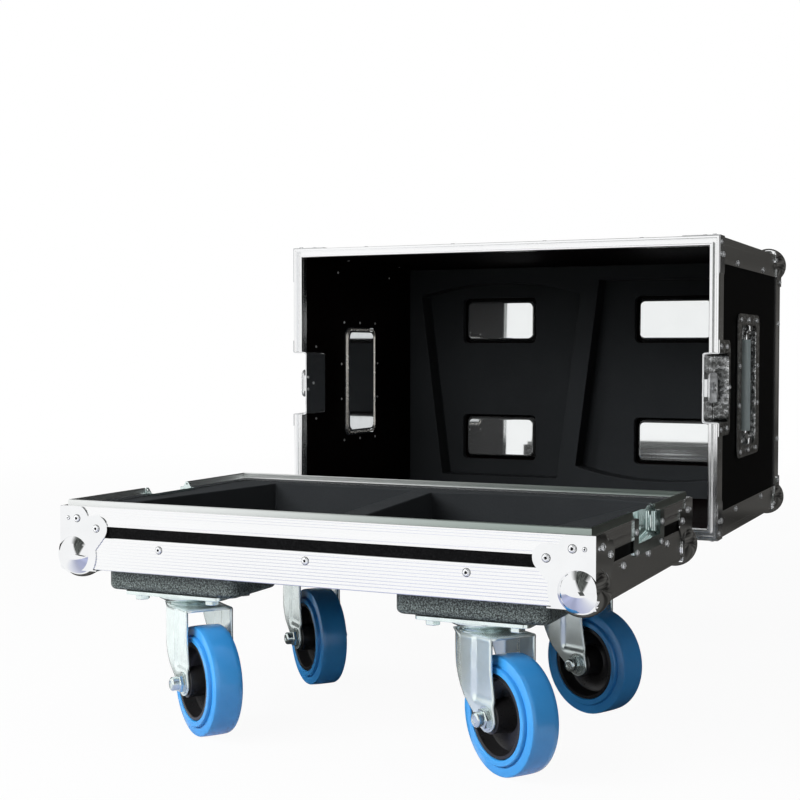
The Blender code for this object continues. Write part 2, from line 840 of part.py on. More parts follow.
def ball_at_corner(name, radius):
    """A ball of a given radius about the middle of a ball corner."""
    profile = []
    for ring in range(1, BALL_RINGS):
        turn = math.pi * ring / BALL_RINGS
        profile.append((radius * math.sin(turn), BALL_CENTRE - radius * math.cos(turn)))
    mesh = turned(name, profile, 2 * BALL_RINGS)
    mesh.transform(Matrix.Translation((BALL_CENTRE, BALL_CENTRE, 0)))
    return mesh


def plate_outline(points):
    """An upright plate's outline, carried out to the corner piece's own outer edges."""
    out = FIT + SHEET
    return [(-out, -out), (points[0][0], -out), *points, (-out, points[-1][1])]


def tray_plate():
    """Upright plate of the tray's corners: a round lobe over each rivet, drawn in round the ball."""
    lobe = TRAY_PLATE_LOBE
    top = TRAY_HEIGHT - FIT
    waist = arc((BALL_CENTRE, BALL_CENTRE), BALL_CENTRE + BALL_PROUD + TRAY_PLATE_WAIST, -28, 12, 3)
    lower = arc(TRAY_RIVET_LOW, lobe, -38, 100, 6)
    upper = arc(TRAY_RIVET_HIGH, lobe, 12, 66, 3)
    return plate_outline([*waist, *lower, *upper, (upper[-1][0], top)])


def short_plate():
    """Plate of the cover's corners: a round-ended leg along each of the face's two edges."""
    reach, end = COVER_PLATE_REACH, COVER_PLATE_END
    leg = arc((reach - end, end / 2), end, -10, 70, 4)
    other = [(y, x) for x, y in reversed(leg)]
    return plate_outline([*leg, (COVER_PLATE_CROOK, COVER_PLATE_CROOK), *other])


def pad():
    outline = rounded(PAD_LENGTH / 2, PAD_DEPTH / 2, PAD_CORNER)
    inner = rounded(PAD_LENGTH / 2 - PAD_CORNER, PAD_DEPTH / 2 - PAD_CORNER, PAD_CORNER / 2)
    rings = [[(x, y, PAD_TOP) for x, y in outline]]
    rings.append([(x, y, PAD_BOTTOM + PAD_CORNER) for x, y in outline])
    rings.append([(x, y, PAD_BOTTOM) for x, y in inner])
    return skin("pad", rings)


def castor_plate():
    """Top plate with its bolt heads, the fixed race, and the kingpin that the fork turns on."""
    top = -FIT
    bottom = top - PLATE_THICK
    plate = slab("castor_plate", rounded(PLATE_LENGTH / 2, PLATE_WIDTH / 2, PLATE_CORNER, steps=2), bottom, top)
    heads = []
    for x in (-BOLT_X, BOLT_X):
        for y in (-BOLT_Y, BOLT_Y):
            hexagon = [(BOLT_RADIUS, bottom + SHEET), (BOLT_RADIUS, bottom - BOLT_HEAD)]
            head = turned("bolt_head", hexagon, 6)
            head.transform(Matrix.Translation((x, y, 0)))
            heads.append(head)
    race = turned(
        "race",
        [
            (RACE_RADIUS, bottom + SHEET),
            (RACE_RADIUS, bottom - RACE_DROP / 3),
            (RACE_FOOT_RADIUS, bottom - RACE_DROP),
            (KINGPIN_RADIUS, bottom - RACE_DROP),
            (KINGPIN_RADIUS, fork_top() - FORK_STEEL - FIT),
            (KINGPIN_NUT, fork_top() - FORK_STEEL - FIT),
            (KINGPIN_NUT, fork_top() - FORK_STEEL - KINGPIN_TAIL),
        ],
        2 * SMALL_STEPS,
    )
    return fused(plate, *heads, race)


def fork_top():
    """Height of the fork's crown, under the neck, the race and the plate."""
    return -FIT - PLATE_THICK - RACE_DROP - FIT - NECK_DROP


def axle_height():
    return -(CASTOR_HEIGHT - WHEEL_RADIUS)


def fork():
    """The fork about its swivel axis: crown, neck and two legs that sweep forward to the axle."""
    crown = fork_top()
    half = FORK_WIDTH / 2
    axle = axle_height()
    drop = crown - axle
    toe = arc((TRAIL, axle), FORK_TOE, 220, 360, 5)
    sweep = [(along * TRAIL, crown - down * drop) for along, down in FORK_SWEEP]
    leg = [
        (-FORK_REAR, crown),
        *sweep,
        *toe,
        (FORK_FRONT + FORK_STEEL, crown - drop / 2),
        (FORK_FRONT, crown),
    ]
    outer = skin("fork", [[(x, y, z) for x, z in leg] for y in (-half, half)])
    inner_half = half - FORK_STEEL
    under = crown - FORK_STEEL
    gap = box("fork_gap", (-LENGTH, -inner_half, -LENGTH), (LENGTH, inner_half, under))
    neck = turned("neck", [(NECK_RADIUS, crown + NECK_DROP), (NECK_RADIUS, under + FIT)], 2 * SMALL_STEPS)
    bore_radius = KINGPIN_RADIUS + RUNNING_FIT
    bore = turned("kingpin_bore", [(bore_radius, -LENGTH), (bore_radius, LENGTH)], 2 * SMALL_STEPS)
    hole_radius = AXLE_RADIUS + RUNNING_FIT
    hole = turned("axle_hole", [(hole_radius, -LENGTH), (hole_radius, LENGTH)], SMALL_STEPS, axis="Y")
    hole.transform(Matrix.Translation((TRAIL, 0, axle)))
    return shaped(
        outer,
        ("DIFFERENCE", gap),
        ("UNION", neck),
        ("DIFFERENCE", bore),
        ("DIFFERENCE", hole),
    )


def axle():
    """Axle bolt across the fork, about its own centre: hexagon head at one end, capped lock nut at the other."""
    face = FORK_WIDTH / 2 + FIT
    half = face + AXLE_HEX_THICK
    shank = turned("axle", [(AXLE_RADIUS, -half + SHEET), (AXLE_RADIUS, half - SHEET)], SMALL_STEPS, axis="Y")
    nuts = [
        turned("axle_nut", [(AXLE_HEX, near), (AXLE_HEX, near + AXLE_HEX_THICK)], 6, axis="Y")
        for near in (-half, face)
    ]
    cap = turned(
        "axle_cap",
        [(AXLE_CAP_RADIUS, -half - AXLE_TAIL), (AXLE_CAP_RADIUS, -half + SHEET)],
        SMALL_STEPS,
        axis="Y",
    )
    return fused(shank, *nuts, cap)


def wheel_centre():
    """Moulded wheel centre about its axle: barrel, web and hub in one turned section."""
    barrel, web, hub = STEP_WIDTH / 2 - 0.001, WEB_THICK / 2, HUB_LENGTH / 2
    bore = AXLE_RADIUS + RUNNING_FIT
    profile = [
        (RIM_RADIUS, -barrel),
        (RIM_RADIUS, barrel),
        (RIM_BARREL, barrel),
        (RIM_BARREL, web),
        (HUB_RADIUS, web),
        (HUB_RADIUS, hub),
        (bore, hub),
        (bore, -hub),
        (HUB_RADIUS, -hub),
        (HUB_RADIUS, -web),
        (RIM_BARREL, -web),
        (RIM_BARREL, -barrel),
    ]
    return turned("wheel_centre", profile, WHEEL_STEPS, closed=True, axis="Y")


def tyre():
    tread, step, seat = TREAD_WIDTH / 2, STEP_WIDTH / 2, RIM_RADIUS + FIT
    shoulder = TREAD_SHOULDER
    profile = [
        (WHEEL_RADIUS, shoulder - tread),
        (WHEEL_RADIUS, tread - shoulder),
        (WHEEL_RADIUS - shoulder, tread),
        (STEP_RADIUS, tread),
        (STEP_RADIUS, step),
        (seat, step),
        (seat, -step),
        (STEP_RADIUS, -step),
        (STEP_RADIUS, -tread),
        (WHEEL_RADIUS - shoulder, -tread),
    ]
    return turned("tyre", profile, WHEEL_STEPS, closed=True, axis="Y")


def make_materials():
    return {
        "ply": material("black_laminated_ply", (0.012, 0.012, 0.013), 0.45),
        "aluminium": material("anodised_aluminium", (0.80, 0.81, 0.82), 0.32, 1.0),
        "chrome": material("chromed_steel", (0.72, 0.73, 0.74), 0.08, 1.0),
        "zinc": material("zinc_plated_steel", (0.66, 0.73, 0.72), 0.30, 1.0),
        "foam": material("charcoal_foam", (0.020, 0.022, 0.024), 0.95),
        "pad": material("textured_board", (0.060, 0.072, 0.070), 0.75),
        "tyre": material("blue_elastic_tyre", (0.045, 0.265, 0.780), 0.42),
        "centre": material("black_nylon", (0.016, 0.016, 0.017), 0.38),
    }


def build_tray(finish):
    place("tray_edges", tray_edges(), finish["aluminium"])
    inset = PANEL_INSET
    x, y = HALF_LENGTH - inset, HALF_DEPTH - inset
    place("tray_floor", box("tray_floor", (-x, -y, 0), (x, y, PLY)), finish["ply"])
    place("tray_walls", tray_walls(), finish["ply"])
    place("tray_rim_front", tray_rim("tray_rim_front", -1), finish["aluminium"])
    place("tray_rim_back", tray_rim("tray_rim_back", 1), finish["aluminium"])
    place("tray_foam", tray_foam(), finish["foam"])
    dish = keeper()
    for end, side in ENDS.items():
        place(f"keeper_{end}", dish, finish["zinc"], mirrored=side < 0)
    out = FIT + SHEET
    reach = CORNER_FOOT_REACH
    floor_outline = [(-out, -out), (reach, -out), (reach, BALL_CENTRE), (BALL_CENTRE, reach), (-out, reach)]
    corner = ball_corner("tray_corner", tray_plate(), floor_outline)
    corners(corner, finish["chrome"], "tray_corner", None, EDGE_BOTTOM, 1)


def corners(mesh, finish, name, parent, level, up):
    """Four copies of a corner piece, one at each upright edge of the case."""
    for (row, sy) in (("front", -1), ("back", 1)):
        for (end, sx) in ENDS.items():
            thing = place(f"{name}_{row}_{end}", mesh, finish, parent, smooth=35)
            thing.location = (sx * HALF_LENGTH, sy * HALF_DEPTH, level)
            thing.scale = (-sx, -sy, up)


def build_castors(finish):
    pad_mesh, plate, fork_mesh, axle_mesh = pad(), castor_plate(), fork(), axle()
    tyre_mesh, centre_mesh = tyre(), wheel_centre()
    for name, turn in CASTOR_TURNS.items():
        row, end = name.split("_")
        x = CASTOR_X * ENDS[end]
        y = CASTOR_Y * (1 if row == "back" else -1)
        place(f"pad_{name}", pad_mesh, finish["pad"], location=(x, y, 0))
        place(f"castor_plate_{name}", plate, finish["zinc"], location=(x, y, PAD_BOTTOM), smooth=35)
        swivel = empty(f"swivel_{name}", None, (x, y, PAD_BOTTOM), (0, 0, -math.radians(turn)))
        place(f"fork_{name}", fork_mesh, finish["zinc"], swivel, smooth=35)
        hub = (TRAIL, 0, axle_height())
        place(f"axle_{name}", axle_mesh, finish["zinc"], swivel, hub)
        place(f"wheel_centre_{name}", centre_mesh, finish["centre"], swivel, hub, smooth=35)
        place(f"tyre_{name}", tyre_mesh, finish["tyre"], swivel, hub, smooth=35)


def build_cover(finish):
    """The cover is drawn upright, mouth down, and hung from an empty at the middle of its mouth."""
    mouth = (0, HALF_DEPTH + PARTING_GAP, COVER_CENTRE_Z)
    cover = empty("cover", None, mouth, (-math.pi / 2, 0, 0))
    place("cover_walls", cover_walls(), finish["ply"], cover)
    place("cover_top", cover_top(), finish["ply"], cover)
    place("cover_rim_front", cover_rim("cover_rim_front", -1), finish["aluminium"], cover)
    place("cover_rim_back", cover_rim("cover_rim_back", 1), finish["aluminium"], cover)
    place("cover_edges", cover_edges(), finish["aluminium"], cover)
    place("cover_foam", cover_foam(), finish["foam"], cover)
    plate = short_plate()
    corner = ball_corner("cover_corner", plate, plate)
    corners(corner, finish["chrome"], "cover_corner", cover, COVER_HEIGHT, -1)
    cup = castor_cup()
    for name, (x, y) in cup_places().items():
        place(f"castor_cup_{name}", cup, finish["zinc"], cover, (x, y, 0), smooth=35)
    dish, wing, hook = latch_dish(), latch_wing(), latch_hook()
    handle, bail = handle_dish(), handle_bail()
    pivot = HANDLE_HEIGHT + BAIL_PIVOT_ABOVE
    for end, side in ENDS.items():
        left = side < 0
        place(f"latch_dish_{end}", dish, finish["chrome"], cover, mirrored=left, smooth=35)
        wing_axis = (side * (HALF_LENGTH - WING_INSET), 0, WING_HEIGHT)
        place(f"latch_wing_{end}", wing, finish["chrome"], cover, wing_axis, left, 35)
        place(f"latch_hook_{end}", hook, finish["chrome"], cover, mirrored=left, smooth=35)
        place(f"handle_dish_{end}", handle, finish["chrome"], cover, mirrored=left, smooth=35)
        bail_axis = (side * (HALF_LENGTH - BAIL_INSET), 0, pivot)
        place(f"handle_bail_{end}", bail, finish["chrome"], cover, bail_axis, left, 35)


def main():
    clear_scene()
    finish = make_materials()
    build_tray(finish)
    build_castors(finish)
    build_cover(finish)


main()
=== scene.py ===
"""Looks of the speaker flight case: a tray on castors with its cover tipped on its back behind it."""

import math

import bmesh
import bpy
from mathutils import Matrix, Vector


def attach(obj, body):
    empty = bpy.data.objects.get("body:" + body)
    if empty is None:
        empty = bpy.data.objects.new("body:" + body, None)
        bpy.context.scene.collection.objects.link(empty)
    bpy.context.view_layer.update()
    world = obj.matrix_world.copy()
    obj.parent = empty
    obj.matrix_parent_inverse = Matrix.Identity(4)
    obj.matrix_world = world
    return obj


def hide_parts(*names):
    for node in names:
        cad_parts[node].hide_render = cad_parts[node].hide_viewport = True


# Sizes of the solids, in metres
LENGTH = 0.642
DEPTH = 0.406
TRAY_HEIGHT = 0.073
COVER_HEIGHT = 0.466
PARTING_GAP = 0.1515
FIT = 0.0003
PLY = 0.0095
ALU = 0.0015
SHEET = 0.0012
ANGLE_LEG = 0.038
ANGLE_FOOT = 0.035
COVER_ANGLE = 0.036
BAND_HEIGHT = 0.022
RIM_WEB = 0.003
RIM_WIDTH = 0.013
COVER_RIM_HEAD = 0.009
COVER_RIM_LEG = 0.030
COVER_RIM_INNER_LEG = 0.0175
TONGUE_INSET = 0.005
TONGUE_WIDTH = 0.003
TONGUE_HEIGHT = 0.0065
GROOVE_CLEARANCE = 0.0007
TRAY_NEST_DEPTH = 0.045
COVER_FOAM_DEPTH = 0.0525
COVER_NEST_DEPTH = 0.038
NEST_CENTRE = 0.1415
NEST_WIDE = 0.290
NEST_NARROW = 0.210
NEST_WIDE_END = 0.145
NEST_NARROW_END = 0.167
NEST_BULGE = 0.021
CUP_INSET_X = 0.166
CUP_INSET_Y = 0.101
CUP_LENGTH = 0.123
CUP_WIDTH = 0.066
CUP_DEPTH = 0.018
CUP_DRAFT = 0.003
CUP_FLANGE = 0.013
CUP_CORNER = 0.010
CUP_WINDOW_MARGIN = 0.006
CUP_WINDOW_CORNER = 0.008
LATCH_WIDTH = 0.092
LATCH_DEPTH = 0.020
LATCH_RISE = 0.062
LATCH_FLANGE = 0.0185
LATCH_FLANGE_TOP = 0.009
LATCH_PLATE_CORNER = 0.012
KEEPER_DROP = 0.028
KEEPER_FLANGE_DROP = 0.040
KEEPER_CORNER = 0.005
KEEPER_EAR_RISE = 0.007
KEEPER_EAR_WIDTH = 0.012
STRIKER_WIDTH = 0.030
STRIKER_REACH = 0.007
STRIKER_THICK = 0.006
STRIKER_RISE = 0.006
WING_HEIGHT = 0.026
WING_LENGTH = 0.049
WING_WIDTH = 0.041
WING_INSET = 0.0125
WING_BOSS_RADIUS = 0.0075
WING_BOSS_LENGTH = 0.0045
HOOK_WIDTH = 0.024
HOOK_THICK = 0.0022
HOOK_LIP = 0.003
HOOK_BOTTOM = 0.002
HOOK_TOP = 0.034
HOOK_TRAVEL = 0.012
HOOK_CORNER = 0.005
PIVOT_RADIUS = 0.003
RUNNING_FIT = 0.0004
HANDLE_HEIGHT = 0.203
HANDLE_PLATE_TALL = 0.160
HANDLE_PLATE_WIDE = 0.206
HANDLE_PLATE_CORNER = 0.014
HANDLE_RECESS_TALL = 0.107
HANDLE_RECESS_WIDE = 0.172
HANDLE_RECESS_DEPTH = 0.014
BAIL_PIVOT_ABOVE = 0.038
BAIL_GRIP_BELOW = 0.013
BAIL_INSET = 0.0055
BAIL_ROD = 0.0038
BAIL_HALF_WIDTH = 0.0755
BAIL_BEND = 0.008
BAIL_PIN_END = 0.0845
BAIL_CRANK = 0.0048
GRIP_RADIUS = 0.0068
GRIP_HALF_LENGTH = 0.066
LUG_INNER = 0.0805
LUG_TALL = 0.012
LUG_INSET = 0.0008
BALL_CENTRE = 0.0165
BALL_PROUD = 0.0115
BALL_TIP = 0.0005
TRAY_PLATE_LOBE = 0.0148
TRAY_PLATE_WAIST = 0.0038
TRAY_RIVET_LOW = (0.0495, 0.0485)
TRAY_RIVET_HIGH = (0.0225, 0.059)
CORNER_FOOT_REACH = 0.049
COVER_PLATE_REACH = 0.050
COVER_PLATE_END = 0.016
COVER_PLATE_CROOK = 0.0385
PAD_THICK = 0.0235
PAD_LENGTH = 0.172
PAD_DEPTH = 0.100
PAD_CORNER = 0.006
PAD_PLAN_CORNER = 0.012
CASTOR_INSET_X = 0.138
CASTOR_INSET_Y = 0.0645
CASTOR_HEIGHT = 0.1615
PLATE_LENGTH = 0.128
PLATE_WIDTH = 0.096
PLATE_THICK = 0.004
PLATE_CORNER = 0.008
BOLT_X = 0.047
BOLT_Y = 0.034
BOLT_RADIUS = 0.0085
BOLT_HEAD = 0.0065
RACE_RADIUS = 0.041
RACE_FOOT_RADIUS = 0.031
RACE_DROP = 0.009
NECK_RADIUS = 0.027
NECK_DROP = 0.003
KINGPIN_NUT = 0.012
KINGPIN_TAIL = 0.005
FORK_STEEL = 0.003
FORK_WIDTH = 0.062
FORK_FRONT = 0.049
TRAIL = 0.0445
FORK_TOE = 0.014
WHEEL_DIAMETER = 0.125
TREAD_WIDTH = 0.033
STEP_RADIUS = 0.051
STEP_WIDTH = 0.041
RIM_RADIUS = 0.0438
RIM_BARREL = 0.0395
WEB_THICK = 0.007
HUB_RADIUS = 0.0175
HUB_LENGTH = 0.055
AXLE_RADIUS = 0.006
AXLE_HEX = 0.0105
AXLE_HEX_THICK = 0.006
AXLE_CAP_RADIUS = 0.0078
AXLE_TAIL = 0.008
CASTOR_TURNS = {
    "front_left": 35.5,
    "front_right": 34.5,
    "back_left": 41.5,
    "back_right": 24.8,
}

# Levels worked out from those sizes
EDGE_BOTTOM = -(ALU + FIT)
SHOULDER = EDGE_BOTTOM + TRAY_HEIGHT
PANEL_INSET = ALU + FIT
HALF_LENGTH = LENGTH / 2
HALF_DEPTH = DEPTH / 2
INNER_X = HALF_LENGTH - PANEL_INSET - PLY - FIT
INNER_Y = HALF_DEPTH - PANEL_INSET - PLY - FIT
COVER_TOP_INSIDE = COVER_HEIGHT - PANEL_INSET - PLY
PAD_TOP = EDGE_BOTTOM - FIT
PAD_BOTTOM = PAD_TOP - PAD_THICK
LATCH_POCKET = LATCH_WIDTH / 2 + SHEET + FIT
WHEEL_RADIUS = WHEEL_DIAMETER / 2
CASTOR_X = HALF_LENGTH - CASTOR_INSET_X
CASTOR_Y = HALF_DEPTH - CASTOR_INSET_Y
CUP_X = HALF_LENGTH - CUP_INSET_X
CUP_Y = HALF_DEPTH - CUP_INSET_Y
AXLE_HEIGHT = WHEEL_RADIUS - CASTOR_HEIGHT
FORK_TOP = -FIT - PLATE_THICK - RACE_DROP - FIT - NECK_DROP
ENDS = {"right": 1, "left": -1}
ROWS = {"front": -1, "back": 1}

# Where the cover's own upright drawing goes in the row frame, and the photograph's camera
COVER_SHIFT = (0, HALF_DEPTH + PARTING_GAP, EDGE_BOTTOM + HALF_DEPTH)
COVER_PLACE = Matrix.Translation(COVER_SHIFT) @ Matrix.Rotation(-math.pi / 2, 4, "X")
CAMERA_PLACE = (0.7219, -1.5335, 0.2526)
CAMERA_AZIMUTH = 24.64
CAMERA_DROP = 2.045
CAMERA_ROLL = 0.05
FOCAL_PIXELS = 1417.5
PHOTO_WIDTH = 800
SENSOR_MM = 36.0
FLOOR = PAD_BOTTOM - CASTOR_HEIGHT

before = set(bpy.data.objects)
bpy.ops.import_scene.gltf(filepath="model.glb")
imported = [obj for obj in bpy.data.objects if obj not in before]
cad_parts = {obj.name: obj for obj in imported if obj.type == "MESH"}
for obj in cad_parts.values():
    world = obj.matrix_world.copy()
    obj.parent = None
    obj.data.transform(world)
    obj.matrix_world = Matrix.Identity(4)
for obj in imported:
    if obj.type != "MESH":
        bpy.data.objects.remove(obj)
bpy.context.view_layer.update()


# Shader maths
class Wire:
    """A socket in a material, which ordinary arithmetic turns into Math nodes."""

    def __init__(self, maker, socket):
        self.maker = maker
        self.socket = socket

    def _maths(self, operation, first, second=None):
        values = {0: first}
        if second is not None:
            values[1] = second
        return self.maker.node("ShaderNodeMath", {"operation": operation}, values)

    def __add__(self, other):
        return self._maths("ADD", self, other)

    __radd__ = __add__

    def __mul__(self, other):
        return self._maths("MULTIPLY", self, other)

    __rmul__ = __mul__

    def __sub__(self, other):
        return self._maths("SUBTRACT", self, other)

    def __rsub__(self, other):
        return self._maths("SUBTRACT", other, self)

    def above(self, level, softness):
        """0 below a level and 1 above it, over a soft step."""
        values = {"Value": self, "From Min": level - softness, "From Max": level + softness}
        return self.maker.node("ShaderNodeMapRange", {"interpolation_type": "SMOOTHSTEP"}, values)


class Maker:
    """Adds nodes to a tree, their settings first and then their sockets' values or links."""

    def __init__(self, tree):
        self.tree = tree

    def node(self, kind, settings=None, values=None, output=0):
        made = self.tree.nodes.new(kind)
        for setting, value in (settings or {}).items():
            setattr(made, setting, value)
        for socket, value in (values or {}).items():
            if isinstance(value, Wire):
                self.tree.links.new(value.socket, made.inputs[socket])
            else:
                made.inputs[socket].default_value = value
        return Wire(self, made.outputs[output])


class Finish(Maker):
    """A material under construction, with the piece's own coordinates in metres."""

    def __init__(self, name, colour, roughness, metallic=0.0, **constants):
        self.material = bpy.data.materials.new(name)
        self.material.use_nodes = True
        super().__init__(self.material.node_tree)
        self.shader = self.tree.nodes["Principled BSDF"]
        self.set("Base Color", (*colour, 1))
        self.set("Roughness", roughness)
        self.set("Metallic", metallic)
        for socket, value in constants.items():
            self.set(socket.replace("_", " ").title().replace("Ior", "IOR"), value)
        self.material.diffuse_color = (*colour, 1)
        self.place = self.node("ShaderNodeTexCoord", output="Object")

    def set(self, socket, value):
        """Sets a socket of the shader, or links it."""
        if isinstance(value, Wire):
            self.tree.links.new(value.socket, self.shader.inputs[socket])
        else:
            self.shader.inputs[socket].default_value = value

    def noise(self, scale, detail=2.0, rough=0.5, stretch=(1, 1, 1)):
        """Noise about 0.5, with a size given in features per metre. A stretch squeezes it along each axis."""
        factors = {0: self.place, 1: Vector(stretch)}
        place = self.node("ShaderNodeVectorMath", {"operation": "MULTIPLY"}, factors)
        values = {"Vector": place, "Scale": scale, "Detail": detail, "Roughness": rough}
        return self.node("ShaderNodeTexNoise", {}, values)

    def cells(self, scale):
        return self.node("ShaderNodeTexVoronoi", {}, {"Vector": self.place, "Scale": scale})

    def blend(self, first, second, share):
        """A colour between two colours or coloured wires."""
        first = first if isinstance(first, Wire) else (*first, 1)
        second = second if isinstance(second, Wire) else (*second, 1)
        return self.node("ShaderNodeMix", {"data_type": "RGBA"}, {0: share, 6: first, 7: second}, output=2)

    def along(self, axis):
        """The piece's X, Y or Z coordinate."""
        return self.node("ShaderNodeSeparateXYZ", {}, {0: self.place}, output=axis)

    def coat(self, first, second, share, roughness, bump=None):
        """Sets the colour as a blend, the roughness, and a bump: its height, depth in metres and strength."""
        self.set("Base Color", self.blend(first, second, share))
        self.set("Roughness", roughness)
        if bump:
            height, distance, strength = bump
            values = {"Height": height, "Distance": distance, "Strength": strength}
            self.set("Normal", self.node("ShaderNodeBump", {}, values))
        return self.material


# Finishes
def laminate():
    """Black laminated plywood, with the fine leathery grain of its skin."""
    finish = Finish("black_laminate", (0.004, 0.004, 0.0042), 0.55, specular_ior_level=0.05)
    grain = finish.cells(900) * 0.6 + finish.noise(1500, 3) * 0.6
    hollow, ridge = (0.0010, 0.0010, 0.0011), (0.0085, 0.0085, 0.009)
    return finish.coat(hollow, ridge, grain.above(0.66, 0.16), 0.38 + grain * 0.3, (grain, 0.00012, 0.6))


def raw_ply_back():
    """The plain black paint inside the cover."""
    finish = Finish("black_inner_face", (0.0022, 0.0008, 0.0008), 0.65, specular_ior_level=0.05)
    mottle = finish.noise(240, 4)
    dark, warm = (0.0014, 0.0004, 0.0004), (0.0040, 0.0011, 0.0011)
    return finish.coat(dark, warm, mottle, 0.5 + mottle * 0.3, (finish.noise(900, 3), 0.00006, 0.4))


def aluminium(name, lines, tint=(0.97, 0.975, 0.98), roughness=0.16):
    """Anodised extrusion: fine die lines, which lie across the given axis, and faint clouding."""
    finish = Finish(name, tint, roughness, 1.0)
    stretch = [3.0, 3.0, 3.0]
    stretch[lines] = 420.0
    streaks = finish.noise(4.0, 2, 0.5, stretch)
    share = streaks * 0.6 + finish.noise(9, 3) * 0.5
    darker = tuple(value * 0.95 for value in tint)
    return finish.coat(darker, tint, share, roughness - 0.02 + streaks * 0.04, (streaks, 0.000004, 0.05))


def tongue_metal():
    """The raised tongue of the tray's rim, with painted shade: darker and greener towards its right-hand end.
    """
    finish = Finish("rim_tongue", (0.60, 0.65, 0.63), 0.32, 1.0)
    streaks = finish.noise(4.0, 2, 0.5, (3, 3, 420))
    shade_towards_right = finish.along(0).above(0.02, 0.26)
    # Painted shade: pale at the left end, shaded darker and greener towards the right-hand end.
    pale, painted_shade_colour = (0.88, 0.90, 0.89), (0.36, 0.42, 0.39)
    return finish.coat(pale, painted_shade_colour, shade_towards_right, 0.28 + streaks * 0.10, (streaks, 0.000004, 0.05))


def chrome():
    finish = Finish("bright_chrome", (0.80, 0.81, 0.82), 0.06, 1.0)
    smudges = finish.noise(35, 3)
    roughness = 0.035 + smudges.above(0.6, 0.2) * 0.07
    return finish.coat((0.84, 0.85, 0.86), (0.94, 0.95, 0.96), smudges, roughness)


def pressed_chrome():
    """Chromed sheet, flat and bright, with faint polishing haze."""
    finish = Finish("pressed_chrome", (0.74, 0.75, 0.76), 0.05, 0.95)
    haze = finish.noise(60, 2)
    return finish.coat((0.66, 0.67, 0.68), (0.80, 0.81, 0.82), haze, 0.03 + haze * 0.04)


def painted_reflection_chrome():
    """The hollow sides of the pressed pans: painted dark and bright reflections on chrome over a slightly
    uneven sheet.
    """
    finish = Finish("painted_reflection_chrome", (0.30, 0.31, 0.31), 0.07, 1.0)
    swell = finish.noise(170, 3, 0.55, (1, 1, 0.45))
    # Painted reflection: the colour goes from dark to bright with the sheet's swell.
    painted_dark_reflection, bright = (0.15, 0.153, 0.15), (0.84, 0.85, 0.86)
    return finish.coat(painted_dark_reflection, bright, swell.above(0.55, 0.18), 0.05 + swell * 0.06, (swell, 0.0016, 0.9))


def zinc(name="clear_zinc", tint=(0.82, 0.91, 0.895), roughness=0.17, metallic=0.9):
    """Clear passivated zinc plate: pale, a touch blue-green, with a soft spangle."""
    finish = Finish(name, tint, roughness, metallic)
    spangle = finish.noise(55, 4, 0.6)
    darker = tuple(value * 0.88 for value in tint)
    rough = roughness - 0.06 + finish.noise(180, 3) * 0.14
    bump = (finish.noise(420, 2), 0.00004, 0.3)
    return finish.coat(darker, tint, spangle.above(0.45, 0.25), rough, bump)


def cup_plate():
    """Bright zinc on the castor cups, flat and clean enough to mirror the inside of the cover."""
    finish = Finish("cup_plate", (0.92, 0.94, 0.94), 0.03, 0.90)
    breath = finish.noise(18, 3)
    return finish.coat((0.88, 0.90, 0.90), (0.95, 0.97, 0.97), breath, 0.015 + breath * 0.03)


def foam():
    """Charcoal plastic foam, cut smooth, with its fine open cells."""
    finish = Finish("charcoal_foam", (0.018, 0.020, 0.022), 0.92, specular_ior_level=0.25)
    cells = finish.cells(1300)
    share = cells * 0.7 + finish.noise(14, 3) * 0.4
    dark, pale = (0.016, 0.0176, 0.019), (0.034, 0.037, 0.040)
    return finish.coat(dark, pale, share, 0.86 + cells * 0.12, (cells, 0.00035, 0.8))


def hammered_board():
    """The castor boards' hammered grey coat, with a painted highlight on its high spots."""
    finish = Finish("hammered_board", (0.06, 0.07, 0.07), 0.5, specular_ior_level=0.4)
    mix = finish.noise(520, 2, 0.6) * 0.5 + finish.noise(1150, 2, 0.7) * 0.5
    low, high = (0.010, 0.013, 0.013), (0.200, 0.238, 0.230)
    # Painted highlight: the colour turns pale where the relief is high.
    return finish.coat(low, high, mix.above(0.53, 0.085), 0.62 - mix * 0.3, (mix, 0.0009, 0.8))


def blue_tyre():
    finish = Finish("blue_elastic_tyre", (0.036, 0.242, 0.640), 0.24, specular_ior_level=0.75)
    scuffs = finish.noise(210, 4, 0.7)
    share = finish.noise(30, 3) * 0.7 + scuffs * 0.3
    deep, light = (0.030, 0.240, 0.580), (0.052, 0.330, 0.740)
    return finish.coat(deep, light, share, 0.18 + scuffs * 0.12, (finish.noise(900, 2), 0.00002, 0.2))


def black_nylon():
    finish = Finish("black_nylon", (0.010, 0.010, 0.011), 0.3, specular_ior_level=0.5)
    grain = finish.noise(700, 3)
    dark, pale = (0.007, 0.007, 0.008), (0.018, 0.017, 0.017)
    return finish.coat(dark, pale, grain, 0.22 + grain * 0.16, (grain, 0.00004, 0.3))


def grip_sleeve():
    """The handle's satin grey sleeve, with fine rings from its mould."""
    finish = Finish("grey_grip", (0.30, 0.34, 0.34), 0.42, 0.0, specular_ior_level=0.5)
    rings = finish.noise(3, 3, 0.6, (1, 260, 1))
    dark, pale = (0.35, 0.41, 0.405), (0.46, 0.52, 0.515)
    return finish.coat(dark, pale, rings, 0.36 + rings * 0.12, (rings, 0.00003, 0.3))


def cream_bead():
    """The pale bead round a handle dish's back: a painted highlight on the dish's rounded rim."""
    # Painted highlight: a pale, bright metal for the rim's bright outline.
    finish = Finish("cream_bead", (0.95, 0.90, 0.82), 0.25, 0.75)
    grime = finish.noise(90, 3)
    return finish.coat((0.92, 0.85, 0.74), (0.98, 0.96, 0.92), grime, 0.20 + grime * 0.12)


